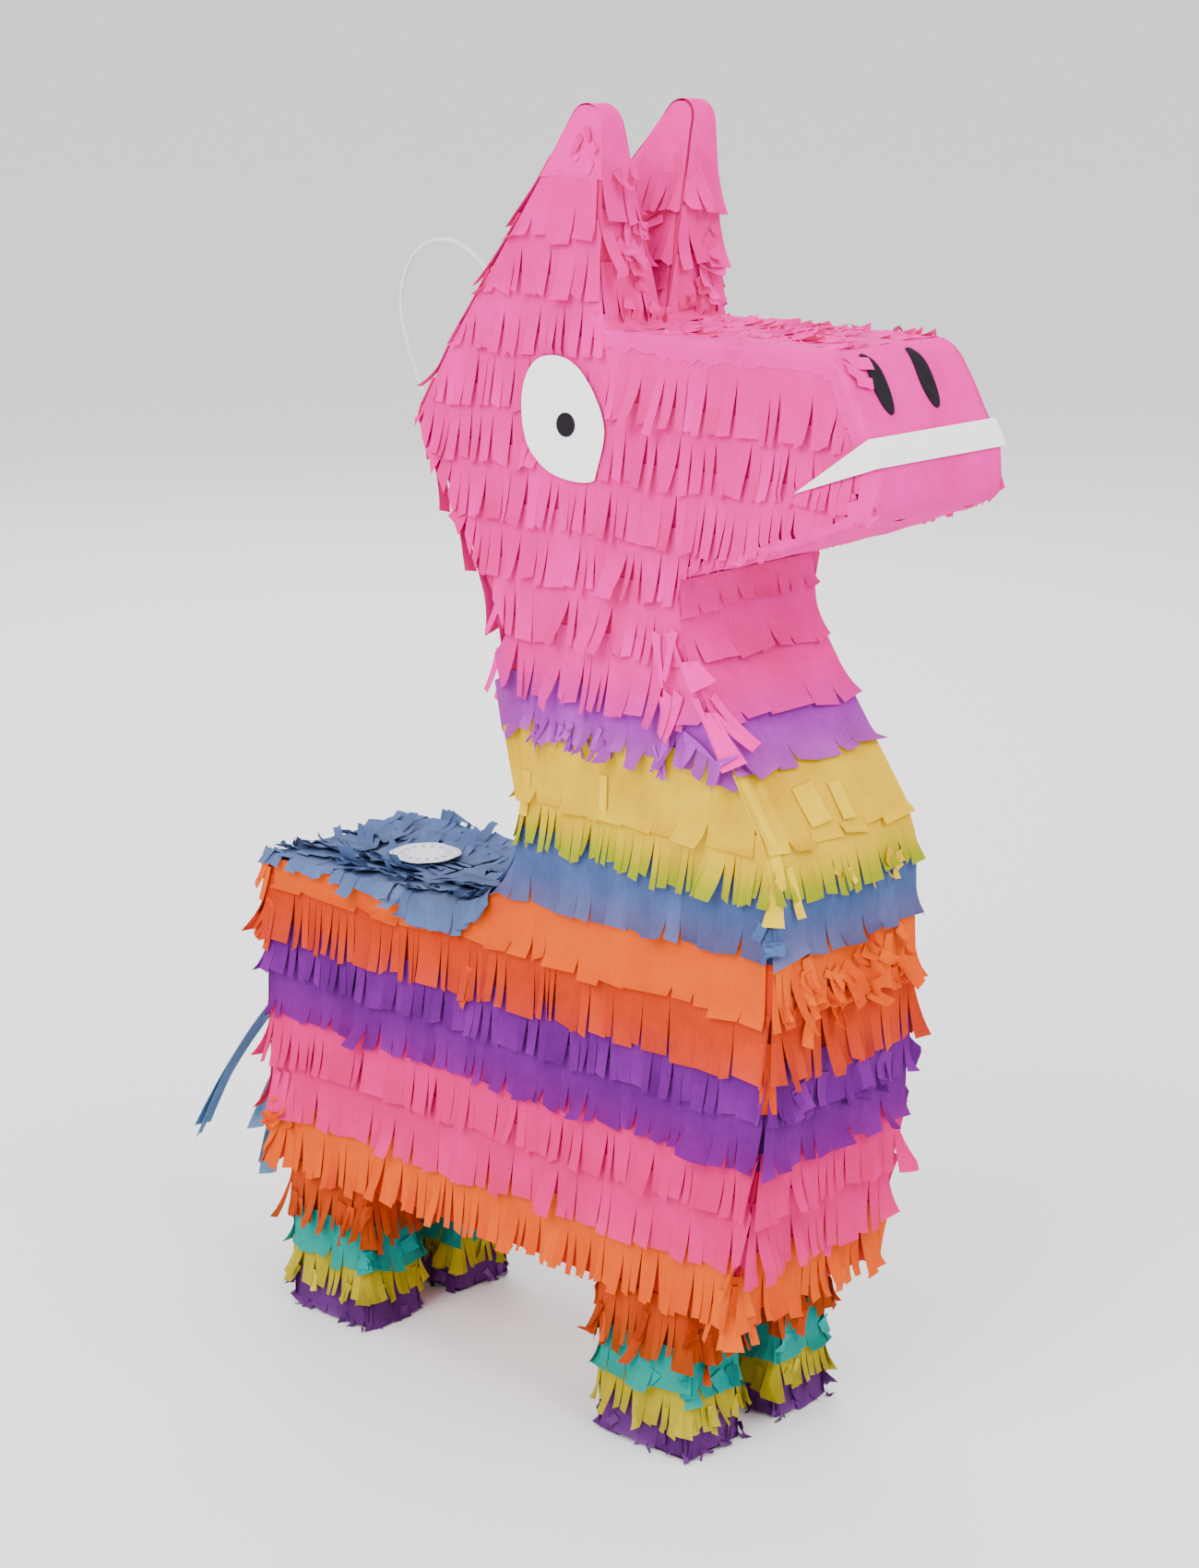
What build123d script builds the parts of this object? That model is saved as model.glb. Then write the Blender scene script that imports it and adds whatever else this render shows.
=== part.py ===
from build123d import *
import os
from math import cos, pi, radians, sin, tan

# A flat-sided llama pinata of wall card, covered in rows of tissue paper. Millimetres, Z up,
# X from the rump to the muzzle, Y towards the animal's left. Everything is drawn with X = 0 at
# the back of the rump and moved at the end, so that the origin is under the middle of the box.

# ---- driving dimensions ----
CARD = 3.0                # wall card
TISSUE = 1.0              # glued tissue, several layers thick
BODY_HALF = 47.0          # half the width, outside the card, up to the crease in the sides
CREASE_Z = 270.0          # above this the two sides lean towards each other
TIP_HALF, TIP_Z = 34.0, 590.0
WIDE = 200.0              # longer than any cut across the object

BELLY_Z = 75.0
RUMP_Z = 228.0
CHEST_X = 296.0
MUZZLE_TOP_Z = 497.0
BACK_X = 174.0            # back of the neck where it rises from the rump
BACK_SWEEP = 55.0         # radius between the rump top and the neck
EAR_FRONT_X = 212.0
HEAD_REAR = (104.5, 454.5)
NAPE_FOOT = (160.0, 366.0)
HEAD_BACK_BEND = (124.0, 487.0)
EAR_TIP = (207.0, 604.0)  # where the ear's two straight edges would meet

# The silhouette, counter-clockwise from the foot of the rump: x, z and the corner's radius
OUTLINE = [
    (0.0, BELLY_Z, 1.5),
    (CHEST_X, BELLY_Z, 1.5),
    (317.0, 175.0, 400.0),
    (318.0, 284.0, 50.0),
    (262.0, 371.0, 40.0),
    (260.0, 401.0, 1.5),
    (312.0, 417.0, 300.0),
    (362.0, 437.0, 9.0),
    (361.0, 457.0, 20.0),
    (338.5, MUZZLE_TOP_Z, 16.0),
    (EAR_FRONT_X, MUZZLE_TOP_Z, 1.5),
    (*EAR_TIP, 7.0),
    (*HEAD_BACK_BEND, 200.0),
    (*HEAD_REAR, 2.0),
    (*NAPE_FOOT, 80.0),
    (BACK_X, 300.0, 120.0),
    (BACK_X, RUMP_Z, BACK_SWEEP),
    (0.0, RUMP_Z, 2.0),
]

LEG_X = (12.6, 220.5)     # back of the rear and the front legs
LEG_LONG, LEG_WIDE = 51.9, 32.6

EAR_INNER_FOOT = 0.6      # half the gap between the ears at the bottom of their notch
EAR_INNER_TOP = 24.5      # the same at TIP_Z
EAR_INNER_CARD = 2.0

FLAP_X = (32.0, 88.0)     # fill flap: free edge, and crease on the side of the neck
FLAP_HALF = 25.0
FLAP_GAP = 0.5            # slit cut round three sides of the flap
CREASE_SETBACK = 1.75     # tissue stops short of the crease, so that the flap can open
STICKER_X, STICKER_R, PAPER = 60.0, 17.5, 0.5

# Bottom edges of the rows of tissue on the body and the neck, from the belly up
ROWS = {
    "lower_orange_row": 72.0,
    "lower_pink_row": 98.0,
    "upper_pink_row": 125.0,
    "lower_purple_row": 149.0,
    "upper_purple_row": 171.0,
    "copper_row": 189.0,
    "upper_orange_row": 218.0,
    "blue_neck_row": 243.0,
    "lower_yellow_row": 268.0,
    "upper_yellow_row": 289.0,
    "violet_row": 318.0,
}
PINK_FOOT_Z = 337.0       # lowest pink edge on the neck
PINK_PITCH = 24.9         # from one pink row to the next, up to the tips of the ears
NECK_PINK_ROWS = 2
HEAD_PINK_ROWS = 9
LEG_ROWS = {"copper_leg_rows": 48.0, "turquoise_leg_rows": 30.0, "olive_leg_rows": 16.0,
            "purple_foot_rows": 0.5}

EYE_TOP, EYE_BACK, EYE_FRONT, EYE_FOOT = (184, 487), (170.5, 451), (216, 462), (213, 434)
PUPIL, PUPIL_R = (195.0, 457.5), (5.4, 5.2)
MOUTH_Z, MOUTH_TIP = (456.0, 466.5), (322.0, 442.0)
NOSTRIL_Y, NOSTRIL_X, NOSTRIL_LONG, NOSTRIL_WIDE = (-21.0, 9.0), 345.6, 27.0, 9.0

CORD_D = 2.0
CORD_HOLE_D = 3.2
KNOT_R, KNOT_LONG = 3.4, 5.0
# Route of the hanging loop in the mid-plane, from the knot under the nape to the upper knot
LOOP = [(113.4, 448.5), (95, 437), (71, 443), (56, 470), (46.5, 497), (58, 522), (84, 529),
        (110, 513), (133.5, 492.8)]

TAIL_ROOT_Z = 166.0
STREAMER_WIDE, STREAMER_THICK = 9.5, 1.0
# Each streamer: y of its middle, angle out from straight down, length and bow outwards
STREAMERS = [(-23.0, 38.0, 142.0, 6.0), (-11.5, 21.0, 135.0, 5.0), (0.0, 32.0, 128.0, 4.0),
             (11.5, 14.0, 138.0, 5.0), (23.0, 26.0, 120.0, 4.0)]


# ---- the silhouette and the shapes cut from it ----
def side_view(points):
    """A closed outline in the X-Z plane as a face."""
    return Plane.XZ * make_face(Polyline(*points, close=True))


def across(face, depth=WIDE):
    """A face of the X-Z plane, drawn out to both sides."""
    return extrude(face, amount=depth / 2, both=True)


def block(x, y, z):
    """A box from its three ranges."""
    size = [b - a for a, b in (x, y, z)]
    return Pos((x[0] + x[1]) / 2, (y[0] + y[1]) / 2, (z[0] + z[1]) / 2) * Box(*size)


def half_width(z):
    """Half the width outside the card at a height."""
    lean = max(z - CREASE_Z, 0) * (BODY_HALF - TIP_HALF) / (TIP_Z - CREASE_Z)
    return BODY_HALF - lean


def within(grow):
    """Everything between the two sides, when each is moved out by grow."""
    top = TIP_Z + 20
    right = [(half_width(z) + grow, z) for z in (-20, CREASE_Z, top)]
    ring = right + [(-y, z) for y, z in reversed(right)]
    return extrude(Plane.YZ * make_face(Polyline(*ring, close=True)), amount=2 * WIDE, both=True)


def parallel_corner(before, corner, after, grow):
    """A corner of the outline and its radius, when both edges that meet there move outwards."""
    points = [Vector(x, z) for x, z, _ in (before, corner, after)]
    into, out = [(b - a).normalized() for a, b in zip(points, points[1:])]
    sine, cosine = into.X * out.Y - into.Y * out.X, into.dot(out)
    normals = Vector(into.Y, -into.X) + Vector(out.Y, -out.X)
    moved = points[1] + normals * (grow / (1 + cosine))
    radius = corner[2] + (grow if sine > 0 else -grow)
    return (moved.X, moved.Y), max(radius, 0)


def outline_face(grow):
    """The silhouette, moved outwards by grow."""
    ends = zip(OUTLINE[-1:] + OUTLINE, OUTLINE, OUTLINE[1:] + OUTLINE[:1])
    corners = [parallel_corner(*row, grow) for row in ends]
    edge = FilletPolyline(*[p for p, _ in corners], radius=[r for _, r in corners], close=True)
    return Plane.XZ * make_face(edge)


SOLID = across(outline_face(0))
CARD_RING = SOLID - across(outline_face(-CARD))
SKIN_RING = across(outline_face(TISSUE)) - SOLID
BETWEEN_SIDES = within(-CARD)
BETWEEN_FACES = within(0)
SIDE_SKINS = (across(outline_face(TISSUE)) & within(TISSUE)) - BETWEEN_FACES


def strip(x, z, ring=CARD_RING, between=BETWEEN_SIDES):
    """The part of a strip of card, or of tissue, that lies in a range of x and of z."""
    return ring & block(x, (-WIDE / 2, WIDE / 2), z) & between


def skin_strip(x, z):
    return strip(x, z, SKIN_RING, BETWEEN_FACES)


def band(z_low, z_high, x=(-20, 400)):
    """Tissue round the whole object between two heights."""
    cut = block(x, (-WIDE / 2, WIDE / 2), (z_low, z_high))
    return (SIDE_SKINS & cut) + (SKIN_RING & BETWEEN_FACES & cut)


def solids_of(shape):
    return [s for s in shape.solids() if s.volume > 1]


parts = {}


def add(name, *shapes):
    """Keep a sub-part: one solid, or a group of separate ones."""
    pieces = [s for shape in shapes for s in solids_of(shape)]
    parts[name] = pieces[0] if len(pieces) == 1 else Compound(children=pieces)
    parts[name].label = name


# ---- cord route, needed early for its two holes ----
def cord_radii(points):
    """Each corner's radius is 0.45 of the shorter run over the tangent of half the turn."""
    runs = [Vector(*b) - Vector(*a) for a, b in zip(points, points[1:])]
    return [0.45 * min(a.length, b.length) / tan(radians(a.get_angle(b)) / 2)
            for a, b in zip(runs, runs[1:])]


loop_points = [(x, 0, z) for x, z in LOOP]
radii = cord_radii(loop_points)
loop_line = FilletPolyline(*loop_points, radius=radii)
print("loop radii", [round(r, 1) for r in radii], "length", round(loop_line.length, 1))


def end_rod(end, radius, start, stop):
    """A rod along one end of the loop; distances run out of the hole from the cord's end."""
    inner, outer = (Vector(*loop_points[i]) for i in ((0, 1) if end == 0 else (-1, -2)))
    out = (outer - inner).normalized()
    plane = Plane(origin=inner + out * start, z_dir=out)
    return plane * Cylinder(radius, stop - start, align=(Align.CENTER, Align.CENTER, Align.MIN))


cord_holes = [end_rod(end, CORD_HOLE_D / 2, -0.5, 12) for end in (0, 1)]


# ---- card shell ----
side_walls = (SOLID & BETWEEN_FACES) - BETWEEN_SIDES
add("right_side_panel", side_walls & block((-20, 400), (-WIDE, 0), (0, 620)))
add("left_side_panel", side_walls & block((-20, 400), (0, WIDE), (0, 620)))

rump_inner_z = RUMP_Z - CARD
add("rear_panel", strip((-1, CARD), (BELLY_Z - 1, rump_inner_z)))
add("belly_panel", strip((CARD, CHEST_X - 6), (BELLY_Z - 1, BELLY_Z + CARD)))
add("chest_panel", strip((CHEST_X - 6, 330), (BELLY_Z - 1, 292)))
add("neck_front_panel", strip((240, 330), (292, 399)))
add("jaw_panel", strip((240, 352), (399, 445)))
add("muzzle_front_panel", strip((352, 380), (420, 470)), strip((324, 380), (470, 500)))
add("muzzle_top_panel", strip((EAR_FRONT_X, 324), (490, 500)))
add("nape_panel", (strip((90, 180), (300, HEAD_REAR[1])) - cord_holes[0])
    & block((90, 180), (-WIDE, WIDE), (300, HEAD_REAR[1])))
add("back_of_head_panel", strip((90, 160), (HEAD_REAR[1], MUZZLE_TOP_Z + 3)) - cord_holes[1])

flap_opening = block((FLAP_X[0] - FLAP_GAP, FLAP_X[1] + FLAP_GAP / 2),
                     (-FLAP_HALF - FLAP_GAP, FLAP_HALF + FLAP_GAP), (RUMP_Z - 10, RUMP_Z + 10))
sweep_x = BACK_X - BACK_SWEEP
add("rump_top_panel", strip((-1, sweep_x), (rump_inner_z, RUMP_Z + 1)) - flap_opening)
add("back_curve_panel", strip((sweep_x, BACK_X + 5), (rump_inner_z - 1, 300)))


# ---- ears: each is a side panel's outer face, an inner face and two edge strips ----
def ear_wedge(low, high):
    """Space on the right side between two faces parallel to the ear's inner face."""
    rise = (EAR_INNER_TOP - EAR_INNER_FOOT) / (TIP_Z - MUZZLE_TOP_Z)
    top = TIP_Z + 20
    slope = [(EAR_INNER_FOOT, MUZZLE_TOP_Z), (EAR_INNER_FOOT + rise * (top - MUZZLE_TOP_Z), top)]
    inner = [(-(y + low), z) for y, z in slope]
    outer = [(-(y + high), z) for y, z in slope]
    return extrude(Plane.YZ * make_face(Polyline(*inner, *reversed(outer), close=True)),
                   amount=WIDE * 2, both=True)


ear_zone = block((90, EAR_FRONT_X + 5), (-WIDE, WIDE), (MUZZLE_TOP_Z + 3, TIP_Z + 10))
inner_wall = SOLID & ear_wedge(0, EAR_INNER_CARD) & ear_zone & BETWEEN_SIDES
edge_space = ear_wedge(EAR_INNER_CARD, WIDE) & BETWEEN_SIDES & ear_zone
front_edge_zone = block((EAR_FRONT_X - 9, EAR_FRONT_X + 5), (-WIDE, 0), (MUZZLE_TOP_Z, 575))
ear_front = CARD_RING & edge_space & front_edge_zone
ear_back = (CARD_RING & edge_space & block((90, 240), (-WIDE, 0), (0, 620))) - front_edge_zone
for side, flip in (("right", False), ("left", True)):
    for name, shape in (("inner", inner_wall), ("front", ear_front), ("back", ear_back)):
        panel = shape & block((0, 400), (-WIDE, 0), (0, 620))
        add(f"{side}_ear_{name}_panel", mirror(panel, about=Plane.XZ) if flip else panel)

ear_tissue = [SKIN_RING & ear_wedge(0, WIDE) & BETWEEN_FACES & ear_zone
              & block((90, 240), (-WIDE, 0), (0, 620)),
              across(outline_face(TISSUE)) & ear_wedge(-TISSUE / 2, 0) & ear_zone]


# ---- legs ----
def leg_boxes():
    """Name, x range and y range of each leg."""
    inner = BODY_HALF - LEG_WIDE
    for place, x in zip(("rear", "front"), LEG_X):
        for side, y in (("right", (-BODY_HALF, -inner)), ("left", (inner, BODY_HALF))):
            yield f"{place}_{side}", (x, x + LEG_LONG), y


def inset(span, amount):
    return span[0] + amount, span[1] - amount


for leg, x, y in leg_boxes():
    tube = block(x, y, (CARD, BELLY_Z)) - block(inset(x, CARD), inset(y, CARD), (0, BELLY_Z + 1))
    add(f"{leg}_leg", tube)
add("foot_caps", *[block(x, y, (0, CARD)) for _, x, y in leg_boxes()])

leg_tops = [BELLY_Z - TISSUE] + list(LEG_ROWS.values())
for name, z_low, z_high in zip(LEG_ROWS, leg_tops[1:], leg_tops):
    rings = []
    for _, x, y in leg_boxes():
        outer = block(inset(x, -TISSUE), inset(y, -TISSUE), (z_low, z_high))
        rings.append(outer - block(x, y, (-1, BELLY_Z + 1)))
    add(name, *rings)

# ---- fill flap, its tissue and its round sticker ----
flap = block(FLAP_X, (-FLAP_HALF, FLAP_HALF), (rump_inner_z, RUMP_Z))
flap_tissue_x = (FLAP_X[0], FLAP_X[1] - CREASE_SETBACK)
add("fill_flap", flap)
add("flap_tissue", block(flap_tissue_x, (-FLAP_HALF, FLAP_HALF), (RUMP_Z, RUMP_Z + TISSUE)))
sticker = Cylinder(STICKER_R, PAPER, align=(Align.CENTER, Align.CENTER, Align.MIN))
add("fill_sticker", Pos(STICKER_X, 0, RUMP_Z + TISSUE) * sticker)

# ---- tissue on the body, the neck and the head ----
row_tops = list(ROWS.values())[1:] + [PINK_FOOT_Z]
rump_skin_zone = block((-5, BACK_X), (-BODY_HALF, BODY_HALF), (RUMP_Z - 6, 243))
rear_skin_zone = block((-5, 0), (-BODY_HALF, BODY_HALF), (0, RUMP_Z))
for (name, z_low), z_high in zip(ROWS.items(), row_tops):
    row = band(z_low, z_high)
    if name == "lower_orange_row":
        row = row - block((TISSUE, CHEST_X), (-BODY_HALF, BODY_HALF), (0, BELLY_Z))
    if name == "upper_orange_row":
        row = row - (rump_skin_zone - rear_skin_zone)
    add(name, row)

belly_skin = block((TISSUE, CHEST_X - 3), (-BODY_HALF, BODY_HALF), (BELLY_Z - TISSUE, BELLY_Z))
for _, x, y in leg_boxes():
    belly_skin = belly_skin - block(inset(x, -2 * TISSUE), inset(y, -2 * TISSUE), (0, BELLY_Z + 1))
add("belly_tissue", belly_skin)

flap_cut = block((FLAP_X[0] - FLAP_GAP, FLAP_X[1] + 3.5),
                 (-FLAP_HALF - FLAP_GAP, FLAP_HALF + FLAP_GAP), (RUMP_Z - 1, RUMP_Z + 10))
rump_skin = SKIN_RING & BETWEEN_FACES & rump_skin_zone - rear_skin_zone
add("rump_top_tissue", rump_skin - flap_cut)

neck_pink_z = [PINK_FOOT_Z + PINK_PITCH * n for n in range(NECK_PINK_ROWS + 1)]
neck_x = (100, 300)
add("neck_pink_rows", *[band(a, b, neck_x) - block((90, 190), (-10, 10), (420, 460))
                        for a, b in zip(neck_pink_z, neck_pink_z[1:])])

head_pink_z = [neck_pink_z[-1] + PINK_PITCH * n for n in range(HEAD_PINK_ROWS + 1)]
head_skins = [SIDE_SKINS & block((90, 380), (-WIDE, WIDE), (a, b))
              for a, b in zip(head_pink_z, head_pink_z[1:])]
for side, y in (("right", (-WIDE, 0)), ("left", (0, WIDE))):
    add(f"{side}_head_pink_rows", *[skin & block((0, 400), y, (0, 620)) for skin in head_skins])

nape_skin = skin_strip((90, 180), (neck_pink_z[-1], HEAD_REAR[1])) - cord_holes[0]
head_back_skin = skin_strip((90, 160), (HEAD_REAR[1], MUZZLE_TOP_Z + 3)) - cord_holes[1]
add("back_of_head_tissue", nape_skin, head_back_skin)
add("jaw_tissue", skin_strip((250, 352), (neck_pink_z[-1], 445)))
add("muzzle_front_tissue", skin_strip((352, 380), (420, 470)) + skin_strip((324, 380), (470, 500)))
add("muzzle_top_tissue", skin_strip((EAR_FRONT_X + TISSUE, 324), (490, 500)))
add("ear_tissue", *ear_tissue, *[mirror(shape, about=Plane.XZ) for shape in ear_tissue])


# ---- face ----
def on_sides(face, depth=PAPER, lift=TISSUE):
    """Flat paper shapes on the tissue of both sides, as right and left pieces."""
    sheet = across(face) & (within(lift + depth) - within(lift))
    return [sheet & block((0, 400), y, (0, 620)) for y in ((-WIDE, 0), (0, WIDE))]


def flat(points):
    return [Vector(x, z) for x, z in points]


eye_edge = (ThreePointArc(*flat((EYE_TOP, EYE_BACK, EYE_FOOT)))
            + ThreePointArc(*flat((EYE_FOOT, EYE_FRONT, EYE_TOP))))
add("eye_whites", *on_sides(Plane.XZ * make_face(eye_edge)))
add("pupils", *on_sides(Plane.XZ * Pos(*PUPIL) * Ellipse(*PUPIL_R), PAPER, TISSUE + PAPER))

mouth_zone = block((330, 380), (-WIDE, WIDE), MOUTH_Z)
mouth_ring = across(outline_face(TISSUE + PAPER)) - across(outline_face(TISSUE))
mouth_front = mouth_ring & mouth_zone & within(TISSUE)
mouth_corner = across(outline_face(TISSUE)) & across(
    side_view([MOUTH_TIP, (370.0, MOUTH_Z[0]), (370.0, MOUTH_Z[1]), (352.0, MOUTH_Z[1])]))
add("mouth_band", mouth_front, mouth_corner & (within(TISSUE + PAPER) - within(TISSUE)))

nostril_ring = mouth_ring & block((320, 380), (-WIDE, WIDE), (468, 500))
slant = Plane(origin=(NOSTRIL_X, 0, 485.5), x_dir=(0, 1, 0), z_dir=(0.873, 0, 0.488))
nostril_cuts = [extrude(slant * Pos(y, 0) * Ellipse(NOSTRIL_WIDE / 2, NOSTRIL_LONG / 2),
                        amount=12, both=True) for y in NOSTRIL_Y]
add("nostrils", *[nostril_ring & cut for cut in nostril_cuts])

# ---- hanging loop and its knots ----
section = Plane(origin=loop_line @ 0, z_dir=loop_line % 0) * Circle(CORD_D / 2)
loop = sweep(section, path=loop_line)
print("loop volume", round(loop.volume, 1), "of", round(pi * CORD_D**2 / 4 * loop_line.length, 1))
add("hanging_loop", loop)
knots = [fillet(end_rod(end, KNOT_R, -KNOT_LONG, 0).edges(), 1.2) for end in (0, 1)]
add("loop_knots", *knots)


# ---- tail ----
def streamer(y, out_angle, long, bow):
    """One paper strip that leaves the rump at an angle and bows outwards a little."""
    a = radians(out_angle)
    start = Vector(-3.2, TAIL_ROOT_Z)
    along, aside = Vector(-sin(a), -cos(a)), Vector(-cos(a), sin(a))
    line = ThreePointArc(start, start + along * (long / 2) + aside * bow, start + along * long)
    strip_face = trace(line, STREAMER_THICK)
    return Pos(0, y, 0) * across(Plane.XZ * strip_face, STREAMER_WIDE)


add("tail_streamers", *[streamer(*row) for row in STREAMERS])
tape = block((-3.7, -TISSUE), (-30, 30), (TAIL_ROOT_Z + 1, TAIL_ROOT_Z + 14))
add("tail_root_strip", tape)

# ---- origin under the middle of the box, measured without the cord ----
boxes = [p.bounding_box() for n, p in parts.items() if n not in ("hanging_loop", "loop_knots")]
low_x, high_x = min(b.min.X for b in boxes), max(b.max.X for b in boxes)
middle = Pos(-(low_x + high_x) / 2, 0, 0)
print("box in x", low_x, high_x, "moved by", middle.position.X)

os.makedirs("parts", exist_ok=True)
for name, shape in parts.items():
    export_step(middle * shape, f"parts/{name}.step")
print(len(parts), "sub-parts")
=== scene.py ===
import math

import bmesh
import bpy
import numpy as np
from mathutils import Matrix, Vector
from mathutils.bvhtree import BVHTree


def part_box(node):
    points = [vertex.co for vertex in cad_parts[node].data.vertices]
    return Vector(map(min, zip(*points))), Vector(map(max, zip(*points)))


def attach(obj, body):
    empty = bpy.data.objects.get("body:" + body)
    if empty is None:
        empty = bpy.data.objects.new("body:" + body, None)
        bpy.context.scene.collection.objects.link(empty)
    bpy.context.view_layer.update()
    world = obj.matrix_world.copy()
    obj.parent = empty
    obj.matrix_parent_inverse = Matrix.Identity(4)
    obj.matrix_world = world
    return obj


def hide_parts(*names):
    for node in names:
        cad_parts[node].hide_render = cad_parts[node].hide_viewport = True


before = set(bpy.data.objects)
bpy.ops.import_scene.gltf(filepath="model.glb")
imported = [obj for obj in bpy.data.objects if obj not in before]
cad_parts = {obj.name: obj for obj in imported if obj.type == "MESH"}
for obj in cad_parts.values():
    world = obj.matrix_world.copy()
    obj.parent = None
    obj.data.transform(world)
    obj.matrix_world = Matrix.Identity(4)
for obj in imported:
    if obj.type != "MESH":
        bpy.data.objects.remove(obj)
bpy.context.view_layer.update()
scene = bpy.context.scene
MM = 0.001

# ---- Studio -------------------------------------------------------------------------------
# A wide pale sweep under soft boxes: a large one over the camera's shoulder, one from the
# muzzle's side and a weaker one from behind, in a bright even room.
camera = bpy.data.objects.new("camera", bpy.data.cameras.new("camera"))
scene.collection.objects.link(camera)
camera.location = (0.98924, -1.02131, 0.65101)
looks_at = Vector((0.03749, 0.0019, 0.2862))
camera.rotation_euler = (looks_at - camera.location).to_track_quat("-Z", "Y").to_euler()
camera.data.lens = 72.69
camera.data.sensor_width = 36
camera.data.clip_end = 400
scene.camera = camera

FAR = 120
sweep_mesh = bpy.data.meshes.new("floor")
sweep_mesh.from_pydata([(-FAR, -FAR, 0), (FAR, -FAR, 0), (FAR, FAR, 0), (-FAR, FAR, 0)], [],
                         [(0, 1, 2, 3)])
floor = bpy.data.objects.new("floor", sweep_mesh)
scene.collection.objects.link(floor)

soft_boxes = {"over_camera": ((0.3, -1.9, 1.7), 1.5, 58),
              "muzzle_side": ((1.7, -0.1, 1.9), 1.3, 36),
              "behind": ((-1.5, 1.3, 1.6), 1.2, 30)}
for name, (place, size, watts) in soft_boxes.items():
    lamp = bpy.data.lights.new(name, "AREA")
    lamp.size, lamp.energy = size, watts
    box_light = bpy.data.objects.new(name, lamp)
    box_light.location = place
    aim = Vector((0, 0, 0.28)) - Vector(place)
    box_light.rotation_euler = aim.to_track_quat("-Z", "Y").to_euler()
    scene.collection.objects.link(box_light)
room = bpy.data.worlds.new("room")
room.use_nodes = True
room.node_tree.nodes["Background"].inputs["Color"].default_value = (1, 1, 1, 1)
room.node_tree.nodes["Background"].inputs["Strength"].default_value = 1.35
scene.world = room


class Grain:
    """A value that changes over a surface, so that shader sums are written as sums."""

    def __init__(self, finish, socket):
        self.finish, self.socket = finish, socket

    def math(self, operation, *values):
        return self.finish.node("ShaderNodeMath", {"operation": operation},
                                dict(enumerate(values or (self,))))

    def __add__(self, other):
        return self.math("ADD", self, other)

    def __sub__(self, other):
        return self.math("SUBTRACT", self, other)

    def __rsub__(self, other):
        return self.math("SUBTRACT", other, self)

    def __mul__(self, other):
        return self.math("MULTIPLY", self, other)

    def held(self):
        """The value kept between 0 and 1."""
        return self.finish.node("ShaderNodeClamp", {}, {"Value": self})

    __radd__, __rmul__ = __add__, __mul__


class Finish:
    """The material of one kind of paper, card or cord."""

    def __init__(self, name, **shader):
        self.material = bpy.data.materials.new(name)
        self.material.use_nodes = True
        self.tree = self.material.node_tree
        self.shader = self.tree.nodes["Principled BSDF"]
        for socket, value in shader.items():
            self.feed(socket.replace("_", " "), value)

    def feed(self, socket, value):
        self.join(self.shader.inputs[socket], value)

    def join(self, socket, value):
        if isinstance(value, Grain):
            self.tree.links.new(value.socket, socket)
        elif hasattr(value, "__len__") and len(value) == 3 and socket.type == "RGBA":
            socket.default_value = (*value, 1)
        else:
            socket.default_value = value

    def node(self, kind, settings, sockets, out=0):
        made = self.tree.nodes.new(kind)
        for name, value in settings.items():
            setattr(made, name, value)
        for name, value in sockets.items():
            self.join(made.inputs[name], value)
        return Grain(self, made.outputs[out])

    def mix(self, share, first, second):
        """Two colours mixed."""
        return self.node("ShaderNodeMix", {"data_type": "RGBA"},
                         {0: share, 6: first, 7: second}, out=2)

    def place(self, stretch=(1, 1, 1)):
        """The point on the object, stretched along its axes."""
        at = self.node("ShaderNodeTexCoord", {}, {}, out=3)
        return self.node("ShaderNodeVectorMath", {"operation": "MULTIPLY"},
                         {0: at, 1: stretch})

    def noise(self, scale, detail=2, rough=0.5, stretch=(1, 1, 1)):
        return self.node("ShaderNodeTexNoise", {},
                         {"Vector": self.place(stretch), "Scale": scale, "Detail": detail,
                          "Roughness": rough})

    def bump(self, height, depth, strength=1.0):
        return self.node("ShaderNodeBump", {}, {"Height": height, "Distance": depth,
                                                "Strength": strength})


def shade(red, green, blue):
    """A paint-chart colour, 0 to 255, as linear light."""
    return tuple((c / 3294.6 if c <= 10.3 else ((c / 255 + 0.055) / 1.055) ** 2.4)
                 for c in (red, green, blue))


backdrop = Finish("pale_backdrop", Base_Color=shade(244, 244, 245), Roughness=0.9)
floor.data.materials.append(backdrop.material)

# ---- Hanging loop -------------------------------------------------------------------------
# A thin white waxed cotton cord, threaded through the back of the head at two holes and
# knotted inside the card; it springs out in one stiff round loop.
CORD_D = 2.0 * MM
LOOP_ROUTE = [(-22.413, 448.5), (-40.813, 437), (-64.813, 443), (-79.813, 470), (-89.313, 497),
              (-77.813, 522), (-51.813, 529), (-25.813, 513), (-2.313, 492.8)]

loop_curve = bpy.data.curves.new("cord_loop", "CURVE")
loop_curve.dimensions = "3D"
loop_line = loop_curve.splines.new("NURBS")
loop_line.points.add(len(LOOP_ROUTE) - 1)
for point, (x, z) in zip(loop_line.points, LOOP_ROUTE):
    point.co = (x * MM, 0, z * MM, 1)
loop_line.order_u = 3
loop_line.use_endpoint_u = True
loop_line.resolution_u = 14
loop_curve.bevel_depth = CORD_D / 2
loop_curve.bevel_resolution = 5
cord_loop = bpy.data.objects.new("cord_loop", loop_curve)
scene.collection.objects.link(cord_loop)

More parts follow.
